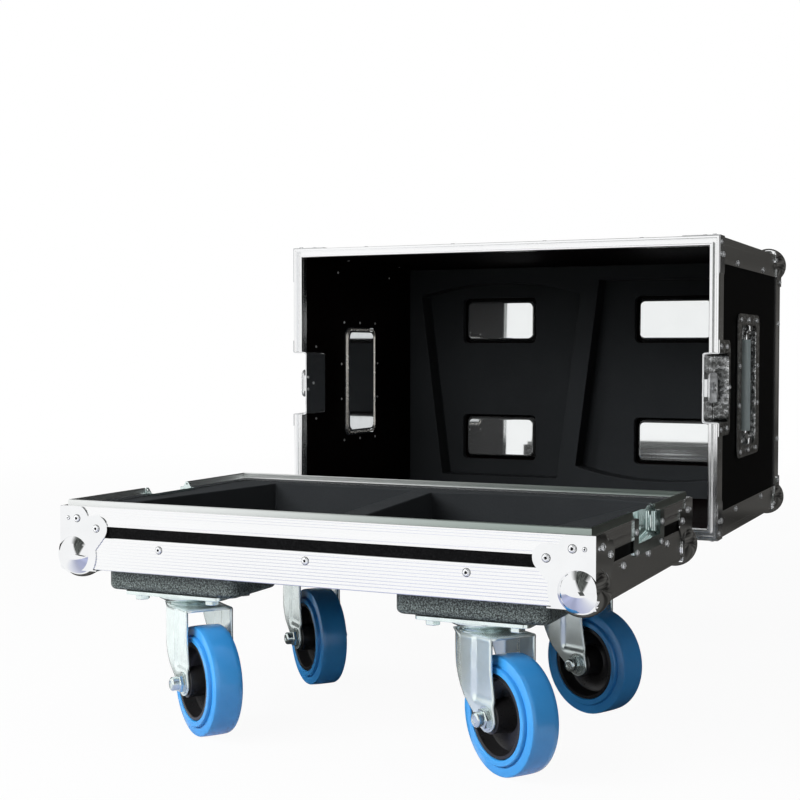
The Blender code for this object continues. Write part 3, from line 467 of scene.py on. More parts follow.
def rivet_metal():
    finish = Finish("rivet_steel", (0.80, 0.81, 0.82), 0.28, 0.6)
    wear = finish.noise(600, 2)
    return finish.coat((0.74, 0.75, 0.76), (0.90, 0.91, 0.92), wear, 0.16 + wear * 0.14)


# Painted shade: the dark finish inside each rivet's hole, and painted shadow on the ring round the foot of
# its head.
def rivet_painted_shade():
    finish = Finish("rivet_painted_shade", (0.03, 0.03, 0.03), 0.5, 0.8)
    wear = finish.noise(900, 2)
    return finish.coat((0.012, 0.012, 0.012), (0.06, 0.06, 0.06), wear, 0.4 + wear * 0.2)


FINISHES = {
    "laminate": laminate(),
    "inner": raw_ply_back(),
    "level_aluminium": aluminium("tray_aluminium", 2),
    "rim_aluminium": aluminium("rim_aluminium", 2),
    "long_aluminium": aluminium("edge_aluminium", 1),
    "tongue": tongue_metal(),
    "chrome": chrome(),
    "pressed": pressed_chrome(),
    "rippled": painted_reflection_chrome(),
    "zinc": zinc(),
    "fork_zinc": zinc("fork_zinc", (0.80, 0.885, 0.87), 0.19, 0.72),
    "keeper_zinc": zinc("keeper_zinc", (0.72, 0.82, 0.81), 0.11, 1.0),
    "cup": cup_plate(),
    "foam": foam(),
    "board": hammered_board(),
    "tyre": blue_tyre(),
    "nylon": black_nylon(),
    "grip": grip_sleeve(),
    "cream_bead": cream_bead(),
    "rivet": rivet_metal(),
    # bore is the rivets' painted shade in their holes and painted shadow round their heads.
    "bore": rivet_painted_shade(),
}


# Mesh makers
def added(name, data):
    """A new object in the scene."""
    made = bpy.data.objects.new(name, data)
    bpy.context.scene.collection.objects.link(made)
    return made


def skin(name, rings, closed=False):
    """A mesh through rings of points. Open ends are capped; closed joins the last ring to the first."""
    bm = bmesh.new()
    rows = [[bm.verts.new(point) for point in ring] for ring in rings]
    pairs = list(zip(rows, rows[1:]))
    if closed:
        pairs.append((rows[-1], rows[0]))
    else:
        bm.faces.new(rows[0])
        bm.faces.new(rows[-1])
    for first, second in pairs:
        for here in range(len(first)):
            there = (here + 1) % len(first)
            bm.faces.new((first[here], first[there], second[there], second[here]))
    return finished(name, bm)


def grid(name, rows):
    """An open sheet through rows of points."""
    bm = bmesh.new()
    lines = [[bm.verts.new(point) for point in row] for row in rows]
    for first, second in zip(lines, lines[1:]):
        for here in range(len(first) - 1):
            bm.faces.new((first[here], first[here + 1], second[here + 1], second[here]))
    return finished(name, bm)


def finished(name, bm):
    bmesh.ops.remove_doubles(bm, verts=bm.verts, dist=1e-7)
    bmesh.ops.recalc_face_normals(bm, faces=bm.faces)
    mesh = bpy.data.meshes.new(name)
    bm.to_mesh(mesh)
    bm.free()
    return mesh


def moved(mesh, matrix):
    """A copy of a mesh, moved or mirrored by a matrix."""
    copy = mesh.copy()
    copy.transform(matrix)
    if matrix.determinant() < 0:
        copy.flip_normals()
    return copy


def joined(name, meshes):
    """One mesh of several, each still a body of its own."""
    bm = bmesh.new()
    for mesh in meshes:
        bm.from_mesh(mesh)
    whole = bpy.data.meshes.new(name)
    bm.to_mesh(whole)
    bm.free()
    return whole


def shaped(mesh, *steps):
    """A mesh after Booleans with other meshes, each step a pair of an operation and a mesh."""
    body = added(mesh.name, mesh)
    tools = []
    for operation, other in steps:
        tool = added(other.name, other)
        tools.append(tool)
        change = body.modifiers.new(operation.title(), "BOOLEAN")
        change.operation = operation
        change.object = tool
        change.solver = "EXACT"
    graph = bpy.context.evaluated_depsgraph_get()
    result = bpy.data.meshes.new_from_object(body.evaluated_get(graph))
    for thing in [body, *tools]:
        bpy.data.objects.remove(thing)
    return result


def cut(mesh, *others):
    return shaped(mesh, *(("DIFFERENCE", other) for other in others))


def box(low, high):
    ring = [(low[0], low[1]), (high[0], low[1]), (high[0], high[1]), (low[0], high[1])]
    return skin("box", [[(x, y, z) for x, y in ring] for z in (low[2], high[2])])


def rounded(half_x, half_y, radius, centre=(0, 0)):
    """Outline of a rectangle with round corners, anticlockwise."""
    points = []
    steps = 8
    for quarter, (sx, sy) in enumerate(((1, 1), (-1, 1), (-1, -1), (1, -1))):
        for step in range(steps + 1):
            angle = math.pi / 2 * (quarter + step / steps)
            x = centre[0] + sx * (half_x - radius) + radius * math.cos(angle)
            y = centre[1] + sy * (half_y - radius) + radius * math.sin(angle)
            points.append((x, y))
    return points


def arc(centre, radius, start, end, steps):
    """Points on an arc, angles in degrees."""
    turns = [math.radians(start + (end - start) * step / steps) for step in range(steps + 1)]
    return [(centre[0] + radius * math.cos(turn), centre[1] + radius * math.sin(turn)) for turn in turns]


def slab(outline, low, high):
    """An outline in X and Y, extruded in Z."""
    return skin("slab", [[(x, y, z) for x, y in outline] for z in (low, high)])


def end_slab(outline, near, far):
    """An outline in Y and Z, extruded in X."""
    return skin("end_slab", [[(x, y, z) for y, z in outline] for x in (near, far)])


def turned(name, profile, steps, closed=False, axis="Z"):
    """A body turned about an axis. The profile's points are radius and distance along the axis."""
    rings = []
    for radius, along in profile:
        ring = []
        for step in range(steps):
            angle = math.tau * step / steps
            across, up = radius * math.cos(angle), radius * math.sin(angle)
            ring.append({"X": (along, across, up), "Y": (across, along, up), "Z": (across, up, along)}[axis])
        rings.append(ring)
    return skin(name, rings, closed)


def swept(name, profile, stations, closed=False):
    """An extrusion round the case. Each station turns a distance in from the outer face into X and Y."""
    rings = []
    for station in stations:
        ring = []
        for inset, height in profile:
            x, y = station(inset)
            ring.append((x, y, height))
        rings.append(ring)
    return skin(name, rings, closed)


def corner_station(sx, sy):
    return lambda inset: (sx * (HALF_LENGTH - inset), sy * (HALF_DEPTH - inset))


def end_station(sx, y):
    return lambda inset: (sx * (HALF_LENGTH - inset), y)


ALL_ROUND = [corner_station(1, 1), corner_station(-1, 1), corner_station(-1, -1), corner_station(1, -1)]


def half_round(row):
    """Stations of the front or back half of a rim, from one latch pocket to the other."""
    ends = [end_station(side, row * LATCH_POCKET) for side in (1, -1)]
    return [ends[0], corner_station(1, row), corner_station(-1, row), ends[1]]


HALVES = {name: half_round(row) for name, row in ROWS.items()}


def rod(name, path, radius, steps, across=(1, 0, 0), closed=False):
    """A round rod through a flat path's points. across is square to the path, and a list is a radius each."""
    across = Vector(across)
    radii = radius if isinstance(radius, list) else [radius] * len(path)
    turns = [math.tau * step / steps for step in range(steps)]
    rings = []
    for number, (point, thick) in enumerate(zip(path, radii)):
        before = path[number - 1 if closed else max(number - 1, 0)]
        after = path[(number + 1) % len(path) if closed else min(number + 1, len(path) - 1)]
        along = Vector([there - here for here, there in zip(before, after)]).normalized()
        up = along.cross(across)
        spokes = [across * math.cos(turn) + up * math.sin(turn) for turn in turns]
        rings.append([Vector(point) + thick * spoke for spoke in spokes])
    return skin(name, rings, closed)


def grooves(places):
    """Small V grooves across the outer face of a profile."""
    width, depth = 0.0004, 0.00012
    return [point for place in places for point in ((0, place - width), (depth, place), (0, place + width))]


def corner_names():
    return [(row, sy, end, sx) for row, sy in ROWS.items() for end, sx in ENDS.items()]


# How pieces are put in place
def show(name, mesh, finish, body, place=None, stands_for=(), slot=None, smooth=35, edge=0.0, flat=False):
    """Adds a piece to the scene and gives it to a body. An edge is the width of the bevel on its corners.

    A flat piece keeps its large faces shaded flat beside round edges.
    """
    mesh = mesh.copy()
    mesh.name = name
    piece = added(name, mesh)
    piece.matrix_world = place or Matrix.Identity(4)
    finishes = finish if isinstance(finish, (list, tuple)) else [finish]
    if len(mesh.materials) == 0:
        for item in finishes:
            mesh.materials.append(FINISHES[item])
    if edge:
        bevel = piece.modifiers.new("Edges", "BEVEL")
        bevel.width = edge
        bevel.segments = 2
        bevel.limit_method = "ANGLE"
        bevel.angle_limit = math.radians(40)
        bevel.harden_normals = False
    if smooth:
        mesh.shade_smooth()
        mesh.set_sharp_from_angle(angle=math.radians(smooth))
    if flat:
        weighted = piece.modifiers.new("Flat faces", "WEIGHTED_NORMAL")
        weighted.keep_sharp = True
    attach(piece, body)
    if stands_for:
        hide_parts(*stands_for)
    return piece


def dress(node, *finishes):
    """Gives a CAD node the scene's finishes, and all its faces the first one."""
    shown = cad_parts[node]
    shown.data.materials.clear()
    for item in finishes:
        shown.data.materials.append(FINISHES[item])
    for face in shown.data.polygons:
        face.material_index = 0


def extrusion(name, mesh, finish, body, place=None, stands_for=()):
    """Shows a length of aluminium."""
    return show(name, mesh, finish, body, place, stands_for, "aluminium_profile", 25)


RIVET_BORE = 0.0014
RIVET_RADIUS = 0.0042
RIVET_PROFILE = [
    (0.0047, -0.0002),
    (0.0047, 0.0001),
    (0.0042, 0.00015),
    (0.0042, 0.0003),
    (0.0039, 0.0011),
    (0.0032, 0.0018),
    (0.0024, 0.0022),
    (0.0018, 0.0021),
    (RIVET_BORE, 0.0016),
    (RIVET_BORE - 0.0001, 0.0001),
]


def rivet_mesh(size):
    mesh = turned("rivet", [(radius * size, height * size) for radius, height in RIVET_PROFILE], 16)
    for face in mesh.polygons:
        middle = face.center
        radius = math.hypot(middle.x, middle.y)
        # Painted shade in the hole, and painted shadow on the ring round the head's foot.
        dark = radius < RIVET_BORE * size or radius > RIVET_RADIUS * size
        face.material_index = 1 if middle.z > -0.0001 and dark else 0
    return mesh


def rivets(name, spots, body, place=None):
    """All the rivet heads of one body. A spot is a place, the way it faces and its share of a full size."""
    heads = {size: rivet_mesh(size) for size in sorted({size for _, _, size in spots})}
    placed = []
    for where, facing, size in spots:
        turn = Vector((0, 0, 1)).rotation_difference(Vector(facing)).to_matrix().to_4x4()
        placed.append(moved(heads[size], Matrix.Translation(where) @ turn))
    show(name, joined(name, placed), ["rivet", "bore"], body, place, slot="chromed_steel", smooth=40)


# Foam
FOAM_EDGE = 0.0012


def nest_outline(side):
    """One nest's plan: narrow and square at one end, wide and bowed at the other."""
    wide, narrow = NEST_WIDE / 2, NEST_NARROW / 2
    radius = (wide**2 + NEST_BULGE**2) / (2 * NEST_BULGE)
    spread = math.degrees(math.asin(wide / radius))
    bow_centre = (0, radius - NEST_WIDE_END - NEST_BULGE)
    bow = arc(bow_centre, radius, 270 - spread, 270 + spread, 24)
    outline = [*bow, (narrow, NEST_NARROW_END), (-narrow, NEST_NARROW_END)]
    return [(-side * NEST_CENTRE + side * x, side * y) for x, y in outline]


def cup_places():
    """Middles of the four castor cups, on the cover's own drawing."""
    ends = ("left", "right")
    return {f"{row}_{end}": (ENDS[end] * CUP_X, sy * CUP_Y) for row, sy in ROWS.items() for end in ends}


def end_boxes(inner, bottom, top):
    """Boxes for the recesses in both ends."""
    right = box((inner, -LATCH_POCKET, bottom), (LENGTH, LATCH_POCKET, top))
    left = box((-LENGTH, -LATCH_POCKET, bottom), (-inner, LATCH_POCKET, top))
    return [left, right]


def foam_block(name, low, high, body, place, *hollows):
    """A block of foam between two levels, with its nests and windows cut out."""
    x, y = INNER_X - FIT, INNER_Y - FIT
    block = cut(box((-x, -y, low), (x, y, high)), *hollows)
    piece = show(f"{name}_block", block, "foam", body, place, [name], "foam", edge=FOAM_EDGE)


def make_foam():
    top = SHOULDER - RIM_WEB - FIT
    nests = [slab(nest_outline(side), top - TRAY_NEST_DEPTH, LENGTH) for side in (1, -1)]
    inner = HALF_LENGTH - LATCH_DEPTH - SHEET - FIT
    pockets = end_boxes(inner, SHOULDER - KEEPER_DROP - SHEET - FIT, LENGTH)
    foam_block("tray_foam", PLY + FIT, top, "tray", None, *nests, *pockets)
    top = COVER_TOP_INSIDE - FIT
    face = top - COVER_FOAM_DEPTH
    nests = [slab(nest_outline(side), 0, face + COVER_NEST_DEPTH) for side in (1, -1)]
    half_x, half_y = CUP_LENGTH / 2 + CUP_WINDOW_MARGIN, CUP_WIDTH / 2 + CUP_WINDOW_MARGIN
    outlines = [rounded(half_x, half_y, CUP_WINDOW_CORNER, centre) for centre in cup_places().values()]
    windows = [slab(outline, 0, LENGTH) for outline in outlines]
    foam_block("cover_foam", face, top, "cover", COVER_PLACE, *nests, *windows)


# Aluminium
def make_tray_metal():
    low, high = EDGE_BOTTOM, EDGE_BOTTOM + ANGLE_LEG
    profile = [(0.0012, low), (0.0004, low + 0.0003), (0, low + 0.0011)]
    profile += grooves(low + 0.005 + 0.0036 * step for step in range(9))
    profile += [(0, high - 0.0004), (0.0004, high), (ALU, high), (ALU, low + ALU)]
    profile += [(ANGLE_FOOT, low + ALU), (ANGLE_FOOT, low)]
    angle = swept("tray_lower_angle", profile, ALL_ROUND, closed=True)
    extrusion("tray_lower_angle", angle, "level_aluminium", "tray", None, ["tray_edges"])
    bottom = SHOULDER - BAND_HEIGHT
    lip_in = PANEL_INSET + PLY + FIT + ALU
    lines = [bottom + 0.003, *(SHOULDER - drop for drop in (0.0085, 0.0055, 0.0025))]
    profile = [(0, bottom), *grooves(lines), (0, SHOULDER - 0.0005), (0.0005, SHOULDER)]
    profile += [(lip_in, SHOULDER), (lip_in, SHOULDER - RIM_WEB), (ALU, SHOULDER - RIM_WEB), (ALU, bottom)]
    tongue_in = TONGUE_INSET + TONGUE_WIDTH
    crown = SHOULDER + TONGUE_HEIGHT
    tongue = [(TONGUE_INSET, SHOULDER), (TONGUE_INSET, crown - 0.0009), (TONGUE_INSET + 0.0006, crown)]
    tongue += [(tongue_in - 0.0006, crown), (tongue_in, crown - 0.0009), (tongue_in, SHOULDER + 0.0030)]
    tongue += [(tongue_in - 0.0004, SHOULDER + 0.0027), (tongue_in, SHOULDER + 0.0024), (tongue_in, SHOULDER)]
    for name, path in HALVES.items():
        band = swept("tray_band", profile, path)
        extrusion(f"tray_band_{name}", band, "rim_aluminium", "tray", None, [f"tray_rim_{name}"])
        extrusion(f"tray_tongue_{name}", swept("tray_tongue", tongue, path), "tongue", "tray")


def make_cover_rim():
    groove_out = TONGUE_INSET - GROOVE_CLEARANCE
    groove_in = TONGUE_INSET + TONGUE_WIDTH + GROOVE_CLEARANCE
    depth = TONGUE_HEIGHT + GROOVE_CLEARANCE
    inner_leg = PANEL_INSET + PLY + FIT
    leg, width = COVER_RIM_INNER_LEG, RIM_WIDTH
    profile = [(0.0005, 0), (0, 0.0005), *grooves([0.009, 0.0125, 0.016, 0.0195, 0.023, 0.0265])]
    profile += [(0, COVER_RIM_LEG), (ALU, COVER_RIM_LEG), (ALU, COVER_RIM_HEAD), (inner_leg, COVER_RIM_HEAD)]
    profile += [(inner_leg, leg), (width - 0.0006, leg), (width, leg - 0.0010), (width, 0.0066)]
    profile += [(width - 0.0005, 0.0060), (width - 0.0005, 0.0052), (width, 0.0046), (width, 0.0006)]
    profile += [(width - 0.0006, 0), (groove_in + 0.0022, 0), (groove_in + 0.0018, 0.0005)]
    profile += [(groove_in + 0.0014, 0), (groove_in, 0), (groove_in, depth), (groove_out, depth)]
    profile += [(groove_out, 0), (groove_out - 0.0006, 0), (groove_out - 0.0010, 0.0006)]
    profile += [(groove_out - 0.0014, 0)]
    for name, path in HALVES.items():
        rim = swept("cover_rim", profile, path)
        title = f"cover_rim_extrusion_{name}"
        extrusion(title, rim, "rim_aluminium", "cover", COVER_PLACE, [f"cover_rim_{name}"])


def angle_strip(start, end, first, second, mitre):
    """One riveted angle along an edge, with die lines on both legs.

    start and end are on the edge itself, first and second point in along the two faces, and each end is cut
    back by the mitre times the distance from the edge.
    """
    start, end, first, second = (Vector(value) for value in (start, end, first, second))
    along = (end - start).normalized()
    leg = COVER_ANGLE
    lines = [0.0030, 0.0065, 0.0100, 0.0310, 0.0335]
    face = []
    for reach in [0, *lines, leg]:
        if reach in lines:
            face += [(0, reach - 0.0005), (0.00035, reach), (0, reach + 0.0005)]
        else:
            face.append((0, max(reach, 0.0008)))
    points = [(reach, depth) for depth, reach in reversed(face)] + face
    points += [(ALU, leg), (ALU, ALU), (leg, ALU)]
    rings = []
    for corner, way in ((start, 1), (end, -1)):
        rings.append([corner + first * a + second * b + along * (mitre * max(a, b) * way) for a, b in points])
    return skin("angle", rings)


def make_cover_edges():
    low = COVER_RIM_LEG + FIT
    x, y, z = HALF_LENGTH, HALF_DEPTH, COVER_HEIGHT
    limit = box((-LENGTH, -LENGTH, 0), (LENGTH, LENGTH, z - COVER_ANGLE - FIT))
    strips = {}
    for row, sy, end, sx in sorted(corner_names(), key=lambda corner: (corner[3], corner[1])):
        upright = angle_strip((sx * x, sy * y, low), (sx * x, sy * y, z), (-sx, 0, 0), (0, -sy, 0), 0)
        strips[f"upright_{row}_{end}"] = shaped(upright, ("INTERSECT", limit))
    for row, sy in ROWS.items():
        strips[f"long_{row}"] = angle_strip((-x, sy * y, z), (x, sy * y, z), (0, -sy, 0), (0, 0, -1), 1)
    for end, sx in (("left", -1), ("right", 1)):
        strips[f"short_{end}"] = angle_strip((sx * x, -y, z), (sx * x, y, z), (-sx, 0, 0), (0, 0, -1), 1)
    stands_for = ["cover_edges"]
    for name, mesh in strips.items():
        finish = "long_aluminium" if name.startswith("upright") else "rim_aluminium"
        extrusion(f"cover_angle_{name}", mesh, finish, "cover", COVER_PLACE, stands_for)
        stands_for = ()


# Ball corners
def plate_outline(points):
    """An upright plate's outline, carried out to the corner piece's own outer edges."""
    out = FIT + SHEET
    return [(-out, -out), (points[0][0], -out), *points, (-out, points[-1][1])]


def tray_plate():
    lobe = TRAY_PLATE_LOBE
    top = TRAY_HEIGHT - FIT
    waist = arc((BALL_CENTRE, BALL_CENTRE), BALL_CENTRE + BALL_PROUD + TRAY_PLATE_WAIST, -28, 12, 8)
    lower = arc(TRAY_RIVET_LOW, lobe, -38, 100, 16)
    upper = arc(TRAY_RIVET_HIGH, lobe, 12, 66, 8)
    return plate_outline([*waist, *lower, *upper, (upper[-1][0], top)])


def cover_plate():
    reach, end = COVER_PLATE_REACH, COVER_PLATE_END
    leg = arc((reach - end, end / 2), end, -10, 70, 10)
    other = [(y, x) for x, y in reversed(leg)]
    return plate_outline([*leg, (COVER_PLATE_CROOK, COVER_PLATE_CROOK), *other])


def ball_at_corner(radius):
    """A ball of a given radius about the middle of a ball corner."""
    profile = []
    for ring in range(1, 48):
        turn = math.pi * ring / 48
        profile.append((radius * math.sin(turn), BALL_CENTRE - radius * math.cos(turn)))
    return moved(turned("ball", profile, 96), Matrix.Translation((BALL_CENTRE, BALL_CENTRE, 0)))


def ball_corner(outline, floor_outline):
    """A pressed ball corner for the left front lower corner, with the aluminium's corner at the origin."""
    out = FIT + SHEET
    reach = max(max(point) for point in outline) + out
    nose = ball_at_corner((BALL_CENTRE + FIT) * math.sqrt(3) + BALL_TIP)
    corner = box((-LENGTH, -LENGTH, -LENGTH), (BALL_CENTRE, BALL_CENTRE, BALL_CENTRE))
    front = skin("front", [[(x, y, z) for x, z in outline] for y in (-out, 0)])
    side = end_slab(outline, -out, 0)
    floor = slab(floor_outline, -out, 0)
    block = box((-FIT, -FIT, -FIT), (reach, reach, reach))
    return shaped(
        front,
        ("UNION", side),
        ("UNION", floor),
        ("DIFFERENCE", cut(corner, nose)),
        ("UNION", ball_at_corner(BALL_CENTRE + BALL_PROUD)),
        ("DIFFERENCE", block),
    )


def make_corners():
    out = FIT + SHEET
    reach = CORNER_FOOT_REACH
    floor_outline = [(-out, -out), (reach, -out), (reach, BALL_CENTRE), (BALL_CENTRE, reach), (-out, reach)]
    tray_corner = ball_corner(tray_plate(), floor_outline)
    cover_corner = ball_corner(cover_plate(), cover_plate())
    kinds = [
        ("tray", tray_corner, 1, Matrix.Identity(4), EDGE_BOTTOM),
        ("cover", cover_corner, -1, COVER_PLACE, COVER_HEIGHT),
    ]
    for row, sy, end, sx in corner_names():
        for body, mesh, up, hold, level in kinds:
            place = hold @ Matrix.Translation((sx * HALF_LENGTH, sy * HALF_DEPTH, level))
            copy = moved(mesh, Matrix.Diagonal((-sx, -sy, up, 1)))
            replaced = [f"{body}_corner_{row}_{end}"]
            show(f"{body}_ball_{row}_{end}", copy, "chrome", body, place, replaced, "chromed_steel", 30)


# Castors
SHEET_EDGE = 0.0003


def make_pad():
    bends = [(0, 0.0), (0, -PAD_THICK + PAD_CORNER)]
    for step in range(1, 7):
        turn = math.pi / 2 * step / 6
        bends.append((-PAD_CORNER * (1 - math.cos(turn)), -PAD_THICK + PAD_CORNER * (1 - math.sin(turn))))
    rings = []
    for grow, drop in bends:
        outline = rounded(PAD_LENGTH / 2 + grow, PAD_DEPTH / 2 + grow, PAD_PLAN_CORNER + grow)
        rings.append([(x, y, PAD_TOP + drop) for x, y in outline])
    return skin("pad", rings)


def hexagon(radius, near, far, axis="Z"):
    """A bolt head with its chamfered corners."""
    inner = radius * 0.90
    lift = (far - near) * 0.12
    return turned("hex", [(radius, near), (radius, far - lift), (inner, far)], 6, axis=axis)


def make_castor_plate():
    """Bolt plate, washers and heads, the raceway with its seal, and the kingpin."""
    bottom = -FIT - PLATE_THICK
    pieces = [slab(rounded(PLATE_LENGTH / 2, PLATE_WIDTH / 2, PLATE_CORNER), bottom, -FIT)]
    washer = turned("washer", [(0.0100, bottom + 0.0002), (0.0100, bottom - 0.0014)], 24)
    head = hexagon(BOLT_RADIUS, bottom - 0.0013, bottom - BOLT_HEAD)
    for x in (-BOLT_X, BOLT_X):
        for y in (-BOLT_Y, BOLT_Y):
            place = Matrix.Translation((x, y, 0)) @ Matrix.Rotation(x + y, 4, "Z")
            pieces += [moved(washer, place), moved(head, place)]
    rim, foot, level = RACE_RADIUS, RACE_FOOT_RADIUS, bottom - RACE_DROP
    race = [(rim - 0.006, bottom + 0.0002), (rim, bottom - 0.0010), (rim, bottom - 0.0032)]
    race += [(rim - 0.0010, bottom - 0.0042), (foot + 0.0020, level + 0.0010), (foot, level), (0.0095, level)]
    low = FORK_TOP - FORK_STEEL - FIT
    tail = low - KINGPIN_TAIL
    nut = [(0.0085, level + 0.0002), (0.0085, low), (KINGPIN_NUT, low), (KINGPIN_NUT, tail + 0.0015)]
    nut += [(KINGPIN_NUT - 0.002, tail + 0.0002), (0.006, tail + 0.0002)]
    return joined("castor_plate", [*pieces, turned("race", race, 64), turned("kingpin", nut, 24)])


FORK_BEND = 0.005
FORK_CREASE = 0.021
FORK_PRESS_DEPTH = 0.0022
FORK_PRESS_END = -0.079
FORK_ROLL = 0.008
FORK_REAR_LINE = [
    (-0.0195, -0.0250),
    (-0.0285, -0.0250),
    (-0.0400, -0.0225),
    (-0.0515, -0.0185),
    (-0.0670, -0.0080),
    (-0.0835, 0.0036),
    (-0.0960, 0.0190),
    (-0.1070, 0.0325),
]
FORK_FRONT_LINE = [(-0.0195, 0.0490), (-0.0500, 0.0490), (-0.0900, 0.0565), (-0.0990, 0.0585)]
FORK_LEVELS = [-0.0222, -0.0250, -0.0285, -0.034, -0.040, -0.0455, -0.0515, -0.057, -0.062, -0.067, -0.072]
FORK_LEVELS += [-0.076, -0.079, -0.081, -0.083, -0.085, -0.087, -0.090, -0.093, -0.096, -0.0990]


def on_line(line, height):
    """The distance along the trail on a fork edge at a height."""
    if height >= line[0][0]:
        return line[0][1]
    for (high, first), (low, second) in zip(line, line[1:]):
        if height >= low:
            share = (high - height) / (high - low)
            return first + (second - first) * share
    return line[-1][1]


def step_up(value, start, end):
    """0 before start, 1 after end, and smooth between them."""
    share = min(max((value - start) / (end - start), 0.0), 1.0)
    return share * share * (3 - 2 * share)


def fork_leg_row(side, height, rear, front, columns):
    """One row across a leg: its rear edge rolled in, and the panel above the axle pressed back."""
    row = []
    for column in range(columns + 1):
        along = rear + (front - rear) * column / columns
        roll = FORK_ROLL * max(0.0, (0.0005 - along) / 0.0255) ** 2
        inside = step_up(along, FORK_CREASE - 0.0012, FORK_CREASE + 0.0012)
        above = step_up(height, FORK_PRESS_END - 0.008, FORK_PRESS_END)
        out = FORK_WIDTH / 2 - roll - FORK_PRESS_DEPTH * inside * above
        row.append((along, side * out, height))
    return row


def make_fork():
    """The fork's bent and pressed sheet: two legs and the crown between them."""
    columns = 28
    toe = FORK_TOE + 0.0006
    leg = [(level, on_line(FORK_REAR_LINE, level), on_line(FORK_FRONT_LINE, level)) for level in FORK_LEVELS]
    for turn in (12, 25, 38, 50, 62, 74, 84):
        height = AXLE_HEIGHT - toe * math.sin(math.radians(turn))
        half = toe * math.cos(math.radians(turn))
        round_rear = TRAIL - half
        if height >= FORK_REAR_LINE[-1][0]:
            round_rear = max(on_line(FORK_REAR_LINE, height), round_rear)
        leg.append((height, round_rear, TRAIL + half))
    rear = FORK_REAR_LINE[0][1]
    crown = [rear + (FORK_FRONT - rear) * column / columns for column in range(columns + 1)]
    rows = []
    for side in (1, -1):
        sheet = [fork_leg_row(side, *level, columns) for level in leg]
        edge = fork_leg_row(side, FORK_LEVELS[0], rear, FORK_FRONT, columns)
        bends = []
        for step in range(1, 5):
            turn = math.pi / 2 * step / 5
            middle = side * (FORK_WIDTH / 2 - FORK_BEND * (1 - math.cos(turn)))
            height = FORK_TOP - FORK_BEND * (1 - math.sin(turn))
            share = 1 - step / 5
            bends.append([(x, middle + (y - side * FORK_WIDTH / 2) * share, height) for x, y, _ in edge])
        half = sheet[::-1] + bends
        rows += half if side > 0 else half[::-1]
        if side > 0:
            for step in range(1, 8):
                y = (FORK_WIDTH / 2 - FORK_BEND) * (1 - step / 4)
                rows.append([(x, y, FORK_TOP) for x in crown])
    return grid("fork_sheet", rows)


def make_swivel_head():
    """The turned head between the raceway and the fork's crown."""
    top, crown, neck = FORK_TOP + NECK_DROP, FORK_TOP, NECK_RADIUS
    profile = [(0.0130, top), (neck - 0.0008, top), (neck, top - 0.0006), (neck + 0.0010, crown + 0.0004)]
    profile += [(neck + 0.0035, crown + 0.0001), (neck + 0.0035, crown - 0.0010), (0.0130, crown - 0.0010)]
    return turned("swivel_head", profile, 64, closed=True)


def make_axle():
    face = FORK_WIDTH / 2 + FIT
    far = face + AXLE_HEX_THICK
    tail = far + AXLE_TAIL
    radius = AXLE_CAP_RADIUS
    shank = turned("shank", [(AXLE_RADIUS, -far + 0.0002), (AXLE_RADIUS, far - 0.0002)], 24, axis="Y")
    profile = [(radius, -far + 0.0004), (radius, -tail + 0.0018), (radius - 0.0006, -tail + 0.0008)]
    profile += [(radius - 0.0020, -tail), (0.0040, -tail), (0.0036, -tail + 0.0008)]
    cap = turned("cap", profile, 32, axis="Y")
    nut, head = hexagon(AXLE_HEX, -face, -far, "Y"), hexagon(AXLE_HEX, face, far, "Y")
    nears = (-face - 0.0011, face - 0.0001)
    washers = [turned("washer", [(0.0125, near), (0.0125, near + 0.0012)], 32, axis="Y") for near in nears]
    return joined("axle", [shank, nut, cap, head, *washers])


def make_tyre():
    tread, step, seat = TREAD_WIDTH / 2, STEP_WIDTH / 2, RIM_RADIUS + FIT
    outer, ledge = WHEEL_RADIUS, STEP_RADIUS
    half = [(outer - 0.0001, tread * 0.6), (outer - 0.0004, tread - 0.0014), (outer - 0.0009, tread - 0.0005)]
    half += [(outer - 0.0018, tread), (ledge + 0.0014, tread + 0.0002), (ledge + 0.0006, tread - 0.0008)]
    half += [(ledge + 0.0001, tread - 0.0006), (ledge - 0.0003, step - 0.0010), (ledge - 0.0010, step)]
    half += [(seat + 0.0012, step), (seat + 0.0004, step - 0.0006), (seat, step - 0.0016)]
    profile = [(radius, -along) for radius, along in reversed(half)] + [(outer, 0.0)] + half
    return turned("tyre", profile, 96, closed=True, axis="Y")


def make_wheel_centre():
    barrel, web, hub = STEP_WIDTH / 2 - 0.001, WEB_THICK / 2, HUB_LENGTH / 2
    rim, inner, boss = RIM_RADIUS, RIM_BARREL, HUB_RADIUS
    half = [(rim, barrel - 0.0006), (rim - 0.0007, barrel), (inner + 0.0008, barrel)]
    half += [(inner, barrel - 0.0007), (inner - 0.0012, web + 0.0050), (inner - 0.0030, web + 0.0014)]
    half.append((inner - 0.0065, web))
    half += [(boss + 0.0040, web), (boss + 0.0012, web + 0.0010), (boss, web + 0.0040)]
    half += [(boss - 0.0006, hub - 0.0010), (boss - 0.0016, hub), (AXLE_RADIUS + RUNNING_FIT, hub)]
    profile = [(radius, -along) for radius, along in reversed(half)] + half
    return turned("wheel_centre", profile, 96, closed=True, axis="Y")


